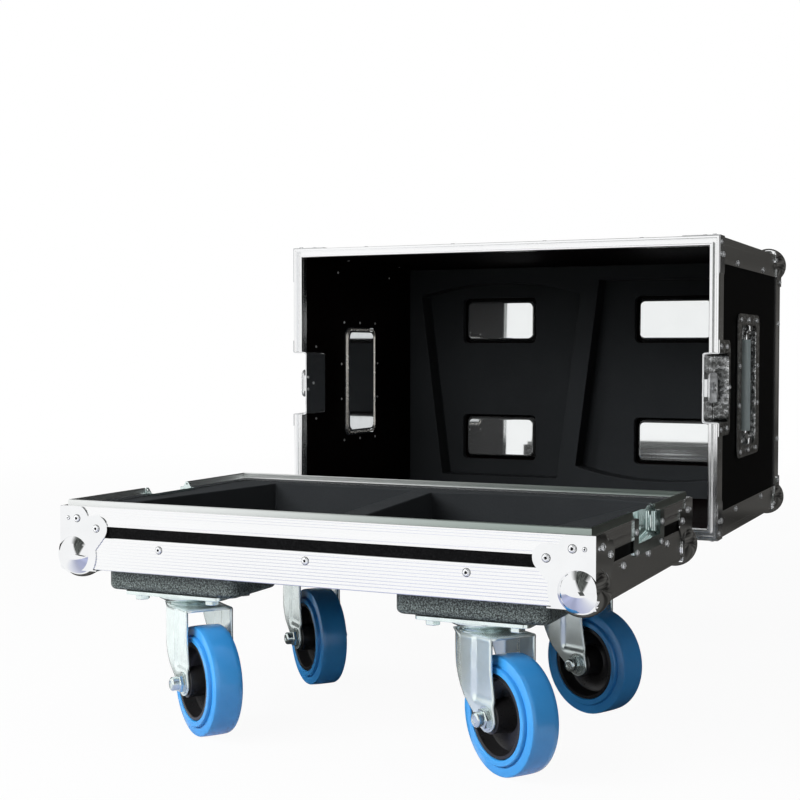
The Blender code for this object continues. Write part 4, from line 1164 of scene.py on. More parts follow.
def make_castors():
    pad, plate, fork, head = make_pad(), make_castor_plate(), make_fork(), make_swivel_head()
    axle, tyre, centre = make_axle(), make_tyre(), make_wheel_centre()
    steel, pressed_edge = "zinc_plated_steel", {"smooth": 30, "edge": SHEET_EDGE}
    for name, turn in CASTOR_TURNS.items():
        row, end = name.split("_")
        x, y = CASTOR_X * ENDS[end], CASTOR_Y * ROWS[row]
        above = Matrix.Translation((x, y, PAD_BOTTOM))
        swivel = above @ Matrix.Rotation(-math.radians(turn), 4, "Z")
        hub = swivel @ Matrix.Translation((TRAIL, 0, AXLE_HEIGHT))
        beside = Matrix.Translation((x, y, 0))
        turning, rolling = f"swivel_{name}", f"wheel_{name}"
        pieces = [
            ("castor_board", pad, "board", "tray", beside, ["pad"], "castor_pad", {"flat": True}),
            ("castor_top", plate, "zinc", "tray", above, ["castor_plate"], steel, pressed_edge),
            ("fork_sheet", fork, "fork_zinc", turning, swivel, ["fork"], steel, {"smooth": 60}),
            ("swivel_head", head, "zinc", turning, swivel, [], steel, {}),
            ("axle_bolt", axle, "zinc", turning, hub, ["axle"], steel, {"smooth": 30, "edge": 0.0002}),
            ("wheel_hub", centre, "nylon", rolling, hub, ["wheel_centre"], "wheel_centre", {}),
            ("tyre_ring", tyre, "tyre", rolling, hub, ["tyre"], "tyre", {"smooth": 28}),
        ]
        for title, *look, stands_for, slot, extra in pieces:
            piece = show(f"{title}_{name}", *look, [f"{node}_{name}" for node in stands_for], slot, **extra)
            if title == "fork_sheet":
                thick = piece.modifiers.new("Steel", "SOLIDIFY")
                thick.thickness = FORK_STEEL
                thick.offset = -1
                thick.use_even_offset = True


# Keepers, latches and handles
def open_dish(sections):
    """A pressed dish that is open below. Each section is an outline, from low end to low end, and its X."""
    bm = bmesh.new()
    rows = [[bm.verts.new((x, y, z)) for y, z in outline] for outline, x in sections]
    bm.faces.new(rows[0])
    bm.faces.new(rows[-1])
    for first, second in zip(rows, rows[1:]):
        for here in range(len(first) - 1):
            bm.faces.new((first[here], first[here + 1], second[here + 1], second[here]))
    bm.faces.new([row[0] for row in rows] + [row[-1] for row in reversed(rows)])
    return finished("open_dish", bm)


def fronted(mesh):
    """Puts a second finish on the hollow side of a dish that opens towards +X."""
    places = [vertex.co for vertex in mesh.vertices]
    middle_y = (min(place.y for place in places) + max(place.y for place in places)) / 2
    middle_z = (min(place.z for place in places) + max(place.z for place in places)) / 2
    for face in mesh.polygons:
        outwards = face.normal.y * (face.center.y - middle_y) + face.normal.z * (face.center.z - middle_z)
        face.material_index = 1 if face.normal.x > 0.15 or outwards < -0.004 else 0
    return mesh


def across_slab(outline, near, far):
    """An outline in X and Z, extruded in Y."""
    return skin("across_slab", [[(x, y, z) for x, z in outline] for y in (near, far)])


def make_keeper():
    """The right-hand keeper: pressed dish, ribbed ends, pierced ears and a striker."""
    face, floor = HALF_LENGTH + FIT, HALF_LENGTH - LATCH_DEPTH
    half, flange = LATCH_WIDTH / 2, LATCH_WIDTH / 2 + LATCH_FLANGE
    bottom, plate_low = SHOULDER - KEEPER_DROP, SHOULDER - KEEPER_FLANGE_DROP
    corner = KEEPER_CORNER
    outline = [
        (-flange, SHOULDER - FIT),
        *arc((corner - flange, plate_low + corner), corner, 180, 270, 5),
        *arc((flange - corner, plate_low + corner), corner, 270, 360, 5),
        (flange, SHOULDER - FIT),
    ]
    shell_low = (floor - SHEET, -half - SHEET, bottom - SHEET)
    shell = box(shell_low, (face + SHEET / 2, half + SHEET, SHOULDER - FIT))
    scoop = [(floor, LENGTH), (floor, bottom + 0.006), (LENGTH / 2, bottom - 0.002), (LENGTH, LENGTH)]
    steps = [("UNION", end_slab(outline, face, face + SHEET))]
    steps.append(("DIFFERENCE", across_slab(scoop, -half, half)))
    middle = (floor + face) / 2
    left, right = middle - KEEPER_EAR_WIDTH / 2, middle + KEEPER_EAR_WIDTH / 2
    peak, root = SHOULDER + KEEPER_EAR_RISE, SHOULDER - SHEET
    foot = [(left, bottom), (right, bottom), (right, root), (left, root)]
    crest = arc((middle, peak - 0.0028), 0.0028, 40, 140, 5)
    ear = [*foot[:2], (right, SHOULDER), *crest, (left, SHOULDER)]
    bump = [(0.0016, bottom + 0.006), (0.0022, bottom + 0.009), (0.0022, SHOULDER - 0.010)]
    bump += [(0.0012, SHOULDER - 0.006)]
    for side in (-1, 1):
        near, far = side * (half - SHEET - FIT), side * (half - FIT)
        steps.append(("UNION", across_slab(foot, near, side * (half + SHEET / 2))))
        steps.append(("UNION", across_slab(ear, near + side * FIT / 2, far)))
        hole = turned("hole", [(0.0012, -LENGTH), (0.0012, LENGTH)], 12, axis="Y")
        steps.append(("DIFFERENCE", moved(hole, Matrix.Translation((middle, 0, peak - 0.0030)))))
        for offset in (-0.0045, -0.0022, 0.0022, 0.0045):
            rib = turned("rib", [(0.0007, bottom + 0.004), (0.0007, SHOULDER - 0.002)], 8)
            steps.append(("UNION", moved(rib, Matrix.Translation((middle + offset, near, 0)))))
        steps.append(("UNION", moved(turned("bump", bump, 12), Matrix.Translation((middle, near, 0)))))
    reach, low = floor + STRIKER_REACH, bottom + STRIKER_RISE
    near, far = (floor - SHEET / 2, -STRIKER_WIDTH / 2, low), (reach, STRIKER_WIDTH / 2, low + STRIKER_THICK)
    return shaped(shell, *steps, ("UNION", box(near, far)))


def make_latch_dish():
    """The right-hand latch dish, open at the mouth: drawn sides, a rolled flange and the wing's pivot pin."""
    face, floor = HALF_LENGTH + FIT, HALF_LENGTH - LATCH_DEPTH

    def section(wide, high, radius):
        outline = [(wide, LATCH_MOUTH), *arc((wide - radius, high - radius), radius, 0, 90, 8)]
        return [*outline, *arc((radius - wide, high - radius), radius, 90, 180, 8), (-wide, LATCH_MOUTH)]

    def drawn(grow, radius, x):
        return section(LATCH_WIDTH / 2 + grow, LATCH_RISE + grow, radius), x

    plate = section(LATCH_WIDTH / 2 + LATCH_FLANGE, LATCH_RISE + LATCH_FLANGE_TOP, LATCH_PLATE_CORNER)
    dish = open_dish(
        [
            drawn(-0.0022, 0.0038, floor),
            drawn(-0.0008, 0.0052, floor + 0.0006),
            drawn(0, 0.006, floor + 0.0024),
            drawn(0, 0.006, face - 0.0008),
            drawn(0.0006, 0.0066, face + 0.0008),
            drawn(0.0020, 0.0080, face + SHEET + 0.0002),
            (plate, face + SHEET),
            (plate, face),
            drawn(SHEET, 0.0072, face),
            drawn(SHEET, 0.0072, floor + 0.0014),
            drawn(SHEET - 0.0012, 0.0060, floor - SHEET + 0.0006),
            drawn(-0.0014, 0.0046, floor - SHEET),
        ]
    )
    head = HALF_LENGTH - WING_INSET + WING_BOSS_LENGTH / 2 + FIT
    pin = [(PIVOT_RADIUS, floor - SHEET / 2), (PIVOT_RADIUS, head), (0.0048, head), (0.0048, head + 0.0010)]
    pin += [(0.0040, head + 0.0017), (0.0018, head + 0.0017), (0.0014, head + 0.0010)]
    pin = moved(turned("pin", pin, 24, axis="X"), Matrix.Translation((0, 0, WING_HEIGHT)))
    return joined("latch_dish", [fronted(dish), pin])


WING_HOLE = 0.0062
WING_WIRE = 0.0013
WING_BORE = 0.0034


def make_latch_wing():
    """The wing: a bright bent loop round a web that leaves a hole at each end, and a boss."""
    long, wide = WING_LENGTH / 2, WING_WIDTH / 2
    path = [(0, y, z) for y, z in rounded(wide - WING_WIRE, long - WING_WIRE, 0.0075)]
    loop = rod("loop", path, WING_WIRE, 10, closed=True)
    plate = end_slab(rounded(wide - WING_WIRE, long - WING_HOLE, 0.002), -0.0009, 0.0009)
    radius, half = WING_BOSS_RADIUS, WING_BOSS_LENGTH / 2
    boss = [(radius, -half + 0.0004), (radius, half - 0.0005), (radius - 0.0006, half)]
    boss += [(WING_BORE, half), (WING_BORE, -half), (radius - 0.0004, -half)]
    web = cut(plate, turned("bore", [(WING_BORE, -LENGTH), (WING_BORE, LENGTH)], 24, axis="X"))
    return joined("latch_wing", [loop, web, turned("boss", boss, 32, closed=True, axis="X")])


def make_latch_hook():
    near = HALF_LENGTH - LATCH_DEPTH + RUNNING_FIT
    half, high = HOOK_WIDTH / 2, HOOK_TOP + HOOK_TRAVEL
    corner = HOOK_CORNER
    outline = [(-half, HOOK_BOTTOM), (half, HOOK_BOTTOM)]
    outline += arc((half - corner, high - corner), corner, 0, 90, 5)
    outline += arc((corner - half, high - corner), corner, 90, 180, 5)
    plate = end_slab(outline, near, near + HOOK_THICK)
    lip_far = (near + HOOK_THICK + HOOK_LIP, half, HOOK_BOTTOM + HOOK_THICK)
    lip = box((near + HOOK_THICK / 2, -half, HOOK_BOTTOM), lip_far)
    radius = PIVOT_RADIUS + RUNNING_FIT
    slot = arc((0, WING_HEIGHT), radius, 180, 360, 10)
    slot += arc((0, WING_HEIGHT + HOOK_TRAVEL), radius, 0, 180, 10)
    return shaped(plate, ("UNION", lip), ("DIFFERENCE", end_slab(slot, 0, LENGTH)))


LATCH_MOUTH = 0.0003
PAN_BEAD = 0.0018
PAN_TUCK = (0.0078, 0.0108)
PAN_BEAD_TUCK = 0.45
MOUTH_BEAD = 0.0011
BRACE_THICK = 0.0010
BRACE_REACH = 0.050
BRACE_TALL = 0.030


def make_handle_dish():
    """The right-hand handle dish: a drawn recess with a tucked floor, in a round-cornered flange."""
    face, floor = HALF_LENGTH + FIT, HALF_LENGTH - HANDLE_RECESS_DEPTH
    centre = (0, HANDLE_HEIGHT)
    wide, tall = HANDLE_RECESS_WIDE / 2, HANDLE_RECESS_TALL / 2
    tuck_wide, tuck_tall = PAN_TUCK

    def drawn(grow, radius, x, tuck=0.0):
        return rounded(wide + grow - tuck * tuck_wide, tall + grow - tuck * tuck_tall, radius, centre), x

    def plate(inset, x):
        half_wide, half_tall = HANDLE_PLATE_WIDE / 2 - inset, HANDLE_PLATE_TALL / 2 - inset
        return rounded(half_wide, half_tall, HANDLE_PLATE_CORNER - inset, centre), x

    sections = [
        drawn(-0.0012, 0.0083, floor, 1.0),
        drawn(0.0, 0.0096, floor + 0.0003, 0.93),
        drawn(0.0, 0.0104, floor + 0.0026, 0.12),
        drawn(0, 0.0108, floor + 0.0036),
        drawn(0, 0.0108, face - 0.0006),
        drawn(0.0006, 0.0114, face + 0.0010),
        drawn(0.0018, 0.0126, face + SHEET + 0.0003),
        drawn(0.0030, 0.0138, face + SHEET),
        plate(0.0006, face + SHEET),
        plate(0, face + SHEET - 0.0005),
        plate(0, face),
        drawn(SHEET, 0.0120, face),
        drawn(SHEET, 0.0120, floor + 0.0030),
        drawn(SHEET, 0.0116, floor + 0.0020),
        drawn(SHEET, 0.0108, floor - SHEET + 0.0004, 0.93),
        drawn(0, 0.0095, floor - SHEET, 1.0),
    ]
    return skin("dish", [[(x, y, z) for y, z in outline] for outline, x in sections])


def make_pan_bead():
    """The pale bead round the back of a handle dish, seen inside the cover: a painted highlight on its rim.
    """
    back = HALF_LENGTH - HANDLE_RECESS_DEPTH
    wide = HANDLE_RECESS_WIDE / 2 + SHEET - PAN_TUCK[0] * PAN_BEAD_TUCK
    tall = HANDLE_RECESS_TALL / 2 + SHEET - PAN_TUCK[1] * PAN_BEAD_TUCK
    path = [(back, y, z) for y, z in rounded(wide, tall, 0.012, (0, HANDLE_HEIGHT))]
    return rod("pan_highlight_bead", path, PAN_BEAD, 12, closed=True)


def make_mouth_bead():
    """The rolled edge round the open side of a latch dish."""
    floor, face = HALF_LENGTH - LATCH_DEPTH, HALF_LENGTH + FIT
    radius, bend = MOUTH_BEAD, 0.006
    half = LATCH_WIDTH / 2 + radius - FIT
    path = [(face - 0.0010, -half), (floor + bend, -half)]
    for turn in (0.4, 0.8, 1.2):
        path.append((floor + bend - bend * math.sin(turn), bend * (1 - math.cos(turn)) - half))
    path += [(floor, bend - half)]
    path += [(x, -y) for x, y in reversed(path)]
    return rod("mouth_bead", [(x, y, FIT + radius) for x, y in path], radius, 12, (0, 0, 1))


def make_handle_lug(side):
    """The eye that holds one end of the bail, bent up from the dish."""
    back = HALF_LENGTH - HANDLE_RECESS_DEPTH - 0.0004
    pivot = HANDLE_HEIGHT + BAIL_PIVOT_ABOVE
    centre = HALF_LENGTH - BAIL_INSET
    reach, nose = LUG_TALL / 2, BAIL_INSET - LUG_INSET
    turns = [math.radians(turn) for turn in range(-75, 90, 15)]
    outline = [(back, pivot - reach), (centre, pivot - reach)]
    outline += [(centre + nose * math.cos(turn), pivot + reach * math.sin(turn)) for turn in turns]
    outline += [(centre, pivot + reach), (back, pivot + reach)]
    lug = across_slab(outline, *sorted((side * LUG_INNER, side * (HANDLE_RECESS_WIDE / 2 + 0.0004))))
    radius, end = BAIL_ROD + RUNNING_FIT, BAIL_PIN_END + 0.0004
    bore = turned("bore", [(radius, -end), (radius, end)], 24, axis="Y")
    return cut(lug, moved(bore, Matrix.Translation((centre, 0, pivot))))


def make_bail():
    """The chromed bail about its own pivot, lying below the axis and cranked outwards a little."""
    drop = BAIL_PIVOT_ABOVE + BAIL_GRIP_BELOW
    bend, side = BAIL_BEND, BAIL_HALF_WIDTH
    half = [(-BAIL_PIN_END, 0), (0.0004 - BAIL_PIN_END, 0)]
    half += arc((-side - bend / 2, -bend / 2), bend / 2, 90, 0, 6)
    half += arc((bend - side, bend - drop), bend, 180, 270, 10)
    path = [(0, y, z) for y, z in half + [(-y, z) for y, z in reversed(half)]]
    tip = BAIL_ROD - 0.0005
    bail = rod("bail", path, [tip, *[BAIL_ROD] * (len(path) - 2), tip], 24)
    for vertex in bail.vertices:
        vertex.co.x += BAIL_CRANK * min(max(-vertex.co.z / drop, 0.0), 1.0)
    return bail


def make_grip():
    """The grip sleeve over the bail's bar, closed at both ends round the rod."""
    rod_radius, radius, half = BAIL_ROD + 0.0001, GRIP_RADIUS, GRIP_HALF_LENGTH
    end = [(rod_radius, half), (radius - 0.0010, half), (radius - 0.0003, half - 0.0004)]
    end.append((radius, half - 0.0014))
    profile = [(reach, -along) for reach, along in end] + end[::-1]
    sleeve = turned("grip", profile, 40, closed=True, axis="Y")
    return moved(sleeve, Matrix.Translation((BAIL_CRANK, 0, -BAIL_PIVOT_ABOVE - BAIL_GRIP_BELOW)))


CUP_LEAN = 0.022


def make_cup():
    """A castor cup about its own centre: drawn sides with draft, a leaning floor, and a flat flange."""
    seat = COVER_HEIGHT - PANEL_INSET + FIT
    floor, corner, lip = seat - CUP_DEPTH, CUP_CORNER, seat + SHEET
    sections = [
        (floor, -SHEET - 0.0030, corner - 0.0042),
        (floor + 0.0008, -SHEET - 0.0010, corner - 0.0022),
        (floor + 0.0028, -SHEET + 0.0004, corner - 0.0008),
        (seat - 0.0006, CUP_DRAFT - 0.0006, corner),
        (seat + 0.0006, CUP_DRAFT, corner),
        (lip, CUP_DRAFT + 0.0014, corner),
        (lip, CUP_FLANGE - 0.0004, corner),
        (lip - 0.0004, CUP_FLANGE, corner),
        (seat, CUP_FLANGE, corner),
        (seat, CUP_DRAFT + SHEET + 0.0008, corner),
        (seat - 0.0014, CUP_DRAFT + SHEET, corner),
        (floor + 0.0024, SHEET * 0.4, corner),
        (floor - 0.0002, -0.0010, corner - 0.0010),
        (floor - SHEET, -0.0030, corner - 0.0030),
    ]
    rings = []
    for height, grow, radius in sections:
        lean = CUP_LEAN if height < floor + 0.001 else 0
        outline = rounded(CUP_LENGTH / 2 + grow, CUP_WIDTH / 2 + grow, radius)
        rings.append([(x, y, height - lean * y) for x, y in outline])
    return skin("cup", rings)


def rim_brace():
    """A folded brace over the rim's mitre at the left front corner of the cover, drawn from that corner."""
    outer, inner = -FIT / 2 - BRACE_THICK, -FIT / 2
    shell = box((outer, outer, 0.0004), (BRACE_REACH, BRACE_REACH, BRACE_TALL))
    return cut(shell, box((inner, inner, -LENGTH), (LENGTH, LENGTH, LENGTH)))


def make_fittings():
    lugs = joined("lugs", [make_handle_lug(1), make_handle_lug(-1)])
    zinc_slot, steel = "zinc_plated_steel", "chromed_steel"
    pan, flat, thin = ["pressed", "rippled"], {"flat": True}, {"edge": SHEET_EDGE}
    handle_level = HANDLE_HEIGHT + BAIL_PIVOT_ABOVE
    pieces = [
        ("keeper_dish", make_keeper(), "keeper_zinc", "tray", "keeper", zinc_slot, {"smooth": 30, **flat}),
        ("latch_pan", make_latch_dish(), pan, "cover", "latch_dish", steel, flat),
        ("wing", make_latch_wing(), "rivet", "wing", "latch_wing", steel, {}),
        ("hook", make_latch_hook(), "pressed", "hook", "latch_hook", steel, {"smooth": 30, **thin}),
        ("handle_pan", fronted(make_handle_dish()), pan, "cover", "handle_dish", steel, flat),
        ("handle_lugs", lugs, "pressed", "cover", None, steel, thin),
        # The pale bead paints the highlight on the rim of each handle dish's back.
        ("pan_highlight_bead", make_pan_bead(), "cream_bead", "cover", None, "castor_pad", {}),
        ("latch_edge", make_mouth_bead(), "rivet", "cover", None, steel, {}),
        ("bail", make_bail(), "chrome", "handle", "handle_bail", steel, {}),
        ("grip", make_grip(), "grip", "handle", None, steel, {}),
    ]
    for end, side in ENDS.items():
        flip = Matrix.Diagonal((side, 1, 1, 1))
        places = {
            "tray": Matrix.Identity(4),
            "wing": COVER_PLACE @ Matrix.Translation((side * (HALF_LENGTH - WING_INSET), 0, WING_HEIGHT)),
            "handle": COVER_PLACE @ Matrix.Translation((side * (HALF_LENGTH - BAIL_INSET), 0, handle_level)),
        }
        for name, mesh, finish, body, node, slot, extra in pieces:
            place = places.get(body, COVER_PLACE)
            body = body if body in ("tray", "cover") else f"{body}_{end}"
            stands_for = [f"{node}_{end}"] if node else ()
            show(f"{name}_{end}", moved(mesh, flip), finish, body, place, stands_for, slot, **extra)
    cup = make_cup()
    for name, (x, y) in cup_places().items():
        place = COVER_PLACE @ Matrix.Translation((x, y, 0))
        show(f"cup_{name}", cup, "cup", "cover", place, [f"castor_cup_{name}"], zinc_slot, flat=True)
    brace = rim_brace()
    for row, sy, end, sx in corner_names():
        place = COVER_PLACE @ Matrix.Translation((sx * HALF_LENGTH, sy * HALF_DEPTH, 0))
        copy = moved(brace, Matrix.Diagonal((-sx, -sy, 1, 1)))
        show(f"rim_brace_{row}_{end}", copy, "pressed", "cover", place, (), steel, **thin, **flat)


# Rivets
def mirrored(*rows):
    """Rivets on both sides of a wall's middle, each a place across, a height, how proud it is and a size."""
    return [(side * across, *rest) for side in (-1, 1) for across, *rest in rows]


def on_walls(axis, half, rows, outwards=1):
    """Rivet spots on both walls that face along an axis, X or Y."""
    spots = []
    for side in (-1, 1):
        for across, height, proud, size in rows:
            where, facing = [across, across, height], [0, 0, 0]
            where[axis] = side * (half + proud)
            facing[axis] = side * outwards
            spots.append((tuple(where), tuple(facing), size))
    return spots


# Rivet places, from the middle line of the wall and the middle of the handle
HANDLE_RIVETS = [(0.0945, -0.057), (0.0945, 0.0), (0.0945, 0.057), (0.028, -0.0665), (0.028, 0.0665)]
EDGE_RIVET_DEPTHS = (0.1245, 0.3158)
EDGE_RIVET_INSET = 0.030
BRACE_PROUD = 0.0011


def tray_rivets():
    """Rivets in the tray's angle, corner plates and keepers."""
    low = EDGE_BOTTOM
    proud = FIT + SHEET
    corner = [(0.010, low + 0.059, 0.55), (0.0225, low + 0.059, 1.0), (0.0495, low + 0.0483, 1.0)]
    long_rows = [(x, low + 0.028, 0, 1.0) for x in (-0.187, 0.0, 0.186)]
    long_rows += mirrored(*((HALF_LENGTH - inset, height, proud, size) for inset, height, size in corner))
    short_rows = [(y, low + 0.0295, 0, 1.0) for y in (-0.100, 0.0, 0.085)]
    short_rows += mirrored(*((HALF_DEPTH - inset, height, proud, size) for inset, height, size in corner))
    short_rows += mirrored((0.055, low + 0.059, proud, 0.85), (0.052, low + 0.0365, proud, 0.85))
    rivets("tray_rivets", on_walls(1, HALF_DEPTH, long_rows) + on_walls(0, HALF_LENGTH, short_rows), "tray")


def cover_rivets():
    """Rivets in the cover's angles, corners, braces, handles and latches."""
    high, proud = COVER_HEIGHT, FIT + SHEET
    short_rows = [(HALF_DEPTH - EDGE_RIVET_INSET, depth, 0, 1.0) for depth in EDGE_RIVET_DEPTHS]
    short_rows += [(across, HANDLE_HEIGHT + along, proud, 0.85) for across, along in HANDLE_RIVETS]
    short_rows += [(0.093, high - 0.014, 0, 1.0), (0.0560, 0.012, proud, 0.85), (0.0555, 0.050, proud, 0.85)]
    long_rows = [(HALF_LENGTH - EDGE_RIVET_INSET, depth, 0, 1.0) for depth in EDGE_RIVET_DEPTHS]
    long_rows += [(x, depth, 0, 1.0) for x in (0.070, 0.210) for depth in (high - 0.014, 0.022)]
    for half, rows in ((HALF_DEPTH, short_rows), (HALF_LENGTH, long_rows)):
        rows += [(half - 0.008, 0.009, BRACE_PROUD, 0.8), (half - 0.024, 0.022, BRACE_PROUD, 1.0)]
        rows += [(half - 0.043, high - 0.009, proud, 0.8), (half - 0.009, high - 0.043, proud, 0.8)]
    short_rows.append((HALF_DEPTH - 0.024, 0.009, BRACE_PROUD, 0.8))
    spots = on_walls(0, HALF_LENGTH, [*mirrored(*short_rows), (0.0, 0.0668, proud, 0.75)])
    spots += on_walls(1, HALF_DEPTH, mirrored(*long_rows))
    cup_level = COVER_HEIGHT - PANEL_INSET + FIT + SHEET
    up = (0, 0, 1)
    for _, sy, _, sx in corner_names():
        spots.append(((sx * (HALF_LENGTH - 0.043), sy * (HALF_DEPTH - 0.009), high + proud), up, 0.8))
        spots.append(((sx * (HALF_LENGTH - 0.009), sy * (HALF_DEPTH - 0.043), high + proud), up, 0.8))
        spots += [((sx * x, sy * (HALF_DEPTH - 0.018), high), up, 1.0) for x in (0.210, 0.070)]
        for x, y in cup_places().values():
            where = (x + sx * (CUP_LENGTH / 2 + 0.008), y + sy * (CUP_WIDTH / 2 + 0.008), cup_level)
            spots.append((where, up, 0.7))
    spots += [((sx * (HALF_LENGTH - 0.018), 0, high), up, 1.0) for sx in (-1, 1)]
    rivets("cover_rivets", spots, "cover", COVER_PLACE)


def rivet_tails():
    """Rivet tails on the inside of the cover's walls and on the backs of the latch dishes."""
    size = 0.5
    short_rows = [(across, HANDLE_HEIGHT + along, 0, size) for across, along in HANDLE_RIVETS]
    short_rows += [(0.0555, 0.050, 0, size)]
    short_rows += [(HALF_DEPTH - EDGE_RIVET_INSET, depth, 0, size) for depth in EDGE_RIVET_DEPTHS]
    long_rows = [(HALF_LENGTH - EDGE_RIVET_INSET, depth, 0, size) for depth in EDGE_RIVET_DEPTHS]
    latch_rows = [(-0.009, 0.0056, 0, 0.6), (0.009, 0.0056, 0, 0.6), (0.0, 0.023, 0, 0.6)]
    spots = on_walls(0, HALF_LENGTH - PANEL_INSET - PLY, mirrored(*short_rows), -1)
    spots += on_walls(1, HALF_DEPTH - PANEL_INSET - PLY, mirrored(*long_rows), -1)
    spots += on_walls(0, HALF_LENGTH - LATCH_DEPTH - SHEET, latch_rows, -1)
    rivets("rivet_tails", spots, "cover", COVER_PLACE)


# Stage
FLOOR_GREY = 0.62
SURROUNDINGS = (0.19, 0.20, 0.215, 1)
WHITE = (1, 1, 1, 1)
FLAG_HEIGHT = 6.5
LAMPS = [
    # Name, place, what it points at, size in metres and watts
    ("key", (-2.4, -2.4, 2.0), (0, 0.0, 0.0), 1.6, 122),
    ("fill", (1.5, -2.8, 0.9), (0, 0.1, 0.05), 1.6, 2),
    ("top", (0.2, 0.4, 2.8), (0.1, 0.3, 0.0), 2.2, 26),
    ("mouth", (-0.45, -1.9, 1.0), (0.05, 0.8, 0.08), 0.9, 28),
]


def make_stage():
    """White floor that keeps the shadow, pale surroundings, and dark flags that only reflections see."""
    wide = 30
    floor_mesh = box((-wide, -wide, FLOOR - 0.02), (wide, wide, FLOOR))
    floor = added("studio_floor", floor_mesh)
    finish = Finish("studio_floor", (FLOOR_GREY,) * 3, 0.9, specular_ior_level=0.1)
    away = finish.node("ShaderNodeVectorMath", {"operation": "LENGTH"}, {0: finish.place}, output=1)
    glow = finish.node("ShaderNodeEmission", {}, {"Color": WHITE, "Strength": 1.0})
    share = seen_directly(finish) * (0.95 + away.above(3.0, 1.8) * 0.05)
    lit = Wire(finish, finish.shader.outputs[0])
    surface = finish.node("ShaderNodeMixShader", {}, {0: share, 1: lit, 2: glow})
    finish.tree.links.new(surface.socket, finish.tree.nodes["Material Output"].inputs["Surface"])
    floor_mesh.materials.append(finish.material)
    make_flags()

    world = bpy.data.worlds.new("studio")
    bpy.context.scene.world = world
    world.use_nodes = True
    world.node_tree.nodes.clear()
    sky = Maker(world.node_tree)
    shades = {0: seen_directly(sky), 6: SURROUNDINGS, 7: WHITE}
    colour = sky.node("ShaderNodeMix", {"data_type": "RGBA"}, shades, output=2)
    background = sky.node("ShaderNodeBackground", {}, {"Color": colour})
    output = world.node_tree.nodes.new("ShaderNodeOutputWorld")
    world.node_tree.links.new(background.socket, output.inputs["Surface"])

    for name, *settings in LAMPS:
        lamp(name, *settings)


def make_flags():
    """The cloths that stand and lie round the case, out of the camera's sight."""
    low, high = FLOOR + 0.001, FLAG_HEIGHT

    def hung(x0, y0, x1, y1):
        return [(x0, y0, low), (x1, y1, low), (x1, y1, high), (x0, y0, high)]

    def laid(level, *corners):
        return [(x, y, level) for x, y in corners]

    dark, olive, lilac = (0.034, 0.033, 0.031), (0.060, 0.064, 0.060), (0.44, 0.47, 0.66)
    flag("side_flag", hung(2.6, -1.0, 2.6, 6.0), dark, 2)
    flag("back_flag", hung(-0.4, 6.0, 2.6, 6.0), dark, 2)
    flag("right_carpet", laid(low, (0.46, -0.20), (2.6, -1.0), (2.6, 6.0), (0.46, 6.0)), dark, 1)
    # Painted shadow: a dark sheet under the case stands for its shadow on the floor, as reflections see it.
    flag("under_case_shadow_card", laid(low, (-0.50, -0.12), (0.46, -0.12), (0.46, 6.0), (-2.0, 6.0)), dark, 1)
    flag("left_flag", hung(-0.4, 6.0, -6.0, 1.0), dark, 2)
    flag("front_flag", hung(-4.0, -6.5, 6.0, -6.5), olive, 0, fade=(1.3, 1.6, 0.8, 0.55))
    flag("front_shade", laid(low, (0.35, -0.9), (0.60, -0.9), (2.0, -6.5), (-0.4, -6.5)), olive, 1)
    roof = laid(high, (-7.0, -6.5), (7.0, -6.5), (0.9, 4.0), (-6.0, 4.0))
    flag("roof_flag", roof, olive, 0, fade=(0.4, 6.0, 2.0, 0.0))
    near = laid(low, (-0.6, -0.62), (0.6, -0.62), (0.6, -0.16), (-0.6, -0.16))
    flag("front_carpet", near, lilac, 0, 0.75, 1.2, fade=(0, 0.6, 0.2, 0))


def seen_directly(maker):
    """1 for what the camera, a reflection or glass sees, and 0 for what only lights other things."""
    path = maker.node("ShaderNodeLightPath", output="Is Camera Ray")
    glossy = Wire(maker, path.socket.node.outputs["Is Glossy Ray"])
    clear = Wire(maker, path.socket.node.outputs["Is Transmission Ray"])
    return maker.node("ShaderNodeMath", {"operation": "MINIMUM"}, {0: path + glossy + clear, 1: 1.0})


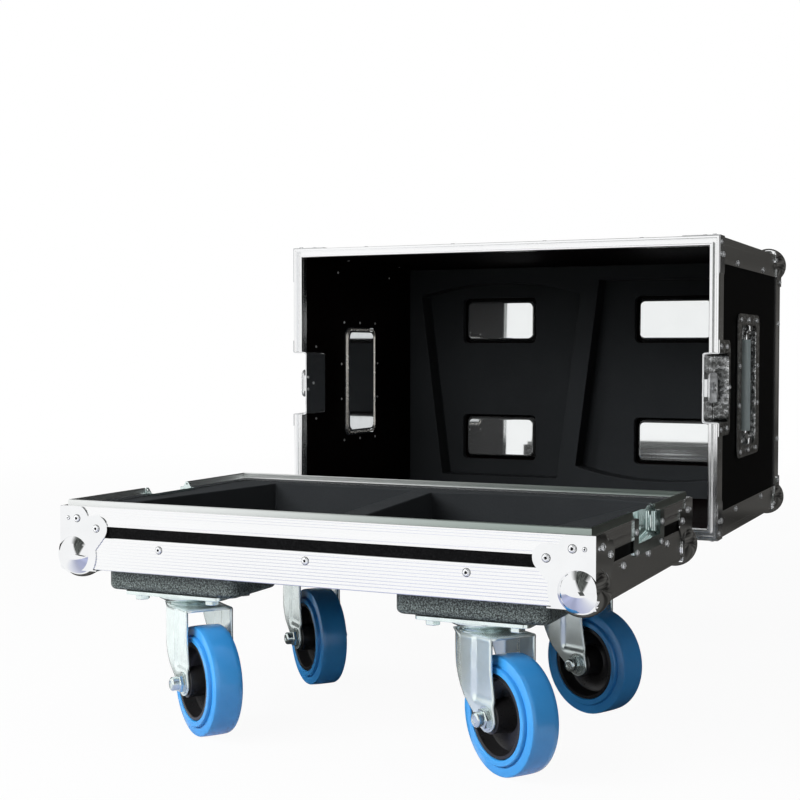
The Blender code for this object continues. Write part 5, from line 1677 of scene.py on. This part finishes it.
def flag(name, corners, colour, axis, least=0.35, most=2.6, fade=None):
    """A cloth that only reflections see, for bright metal to mirror, banded across an axis.

    A fade is the middle of the cloth in X, its reach to each side, the softness of its edges and how fast it
    widens upwards. Beyond its edges the cloth is as white as the surroundings.
    """
    mesh = grid(name, [corners[:2], [corners[3], corners[2]]])
    holder = added(name, mesh)
    cloth = Finish(name, (0, 0, 0), 1.0, specular_ior_level=0.0)
    squeeze = [0.25, 0.25, 0.25]
    squeeze[axis] = 2.6
    bands = cloth.noise(1.0, 2, 0.5, squeeze)
    deeper = tuple(value * least for value in colour)
    paler = tuple(value * most for value in colour)
    banded = cloth.blend(deeper, paler, bands.above(0.5, 0.16))
    if fade:
        middle, reach, soft, spread = fade
        offset = cloth.node("ShaderNodeMath", {"operation": "ABSOLUTE"}, {0: cloth.along(0) - middle})
        offset = offset - cloth.along(2) * spread
        banded = cloth.blend(banded, (1.0, 1.0, 1.0), offset.above(reach - soft, soft))
    cloth.set("Emission Color", banded)
    cloth.set("Emission Strength", 1.0)
    mesh.materials.append(cloth.material)
    for ray in ("camera", "diffuse", "shadow", "transmission"):
        setattr(holder, f"visible_{ray}", False)


def lamp(name, where, towards, size, watts):
    light = bpy.data.lights.new(name, "AREA")
    light.shape = "SQUARE"
    light.size = size
    light.energy = watts
    holder = added(name, light)
    holder.location = where
    holder.rotation_euler = (Vector(towards) - Vector(where)).to_track_quat("-Z", "Y").to_euler()
    holder.visible_glossy = False


def make_camera():
    camera = bpy.data.cameras.new("camera")
    camera.sensor_width = SENSOR_MM
    camera.lens = FOCAL_PIXELS * SENSOR_MM / PHOTO_WIDTH
    camera.clip_end = 200
    holder = added("camera", camera)
    azimuth, drop = math.radians(CAMERA_AZIMUTH), math.radians(CAMERA_DROP)
    look = Vector((-math.sin(azimuth) * math.cos(drop), math.cos(azimuth) * math.cos(drop), -math.sin(drop)))
    turn = look.to_track_quat("-Z", "Y").to_matrix() @ Matrix.Rotation(math.radians(CAMERA_ROLL), 3, "Z")
    holder.matrix_world = Matrix.Translation(CAMERA_PLACE) @ turn.to_4x4()
    bpy.context.scene.camera = holder


def make_panels():
    """The case's boards, with the plain inner finish on the faces that look into the cover."""
    for node in ("tray_floor", "tray_walls"):
        dress(node, "laminate")
    for node in ("cover_top", "cover_walls"):
        dress(node, "laminate", "inner")
    wall_y = HALF_DEPTH - PANEL_INSET - PLY
    wall_x = HALF_LENGTH - PANEL_INSET - PLY
    centre_z = COVER_PLACE.translation.z
    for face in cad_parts["cover_walls"].data.polygons:
        middle = face.center
        inside = abs(middle.x) < wall_x + 0.001 and abs(middle.z - centre_z) < wall_y + 0.001
        face.material_index = 1 if inside else 0
    inner_y = COVER_PLACE.translation.y + COVER_TOP_INSIDE
    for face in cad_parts["cover_top"].data.polygons:
        face.material_index = 1 if face.center.y < inner_y + 0.001 else 0


def main():
    make_camera()
    make_panels()
    make_tray_metal()
    make_foam()
    make_cover_rim()
    make_cover_edges()
    make_corners()
    make_castors()
    make_fittings()
    tray_rivets()
    cover_rivets()
    rivet_tails()
    make_stage()
    bpy.context.scene.view_settings.view_transform = "Standard"


main()
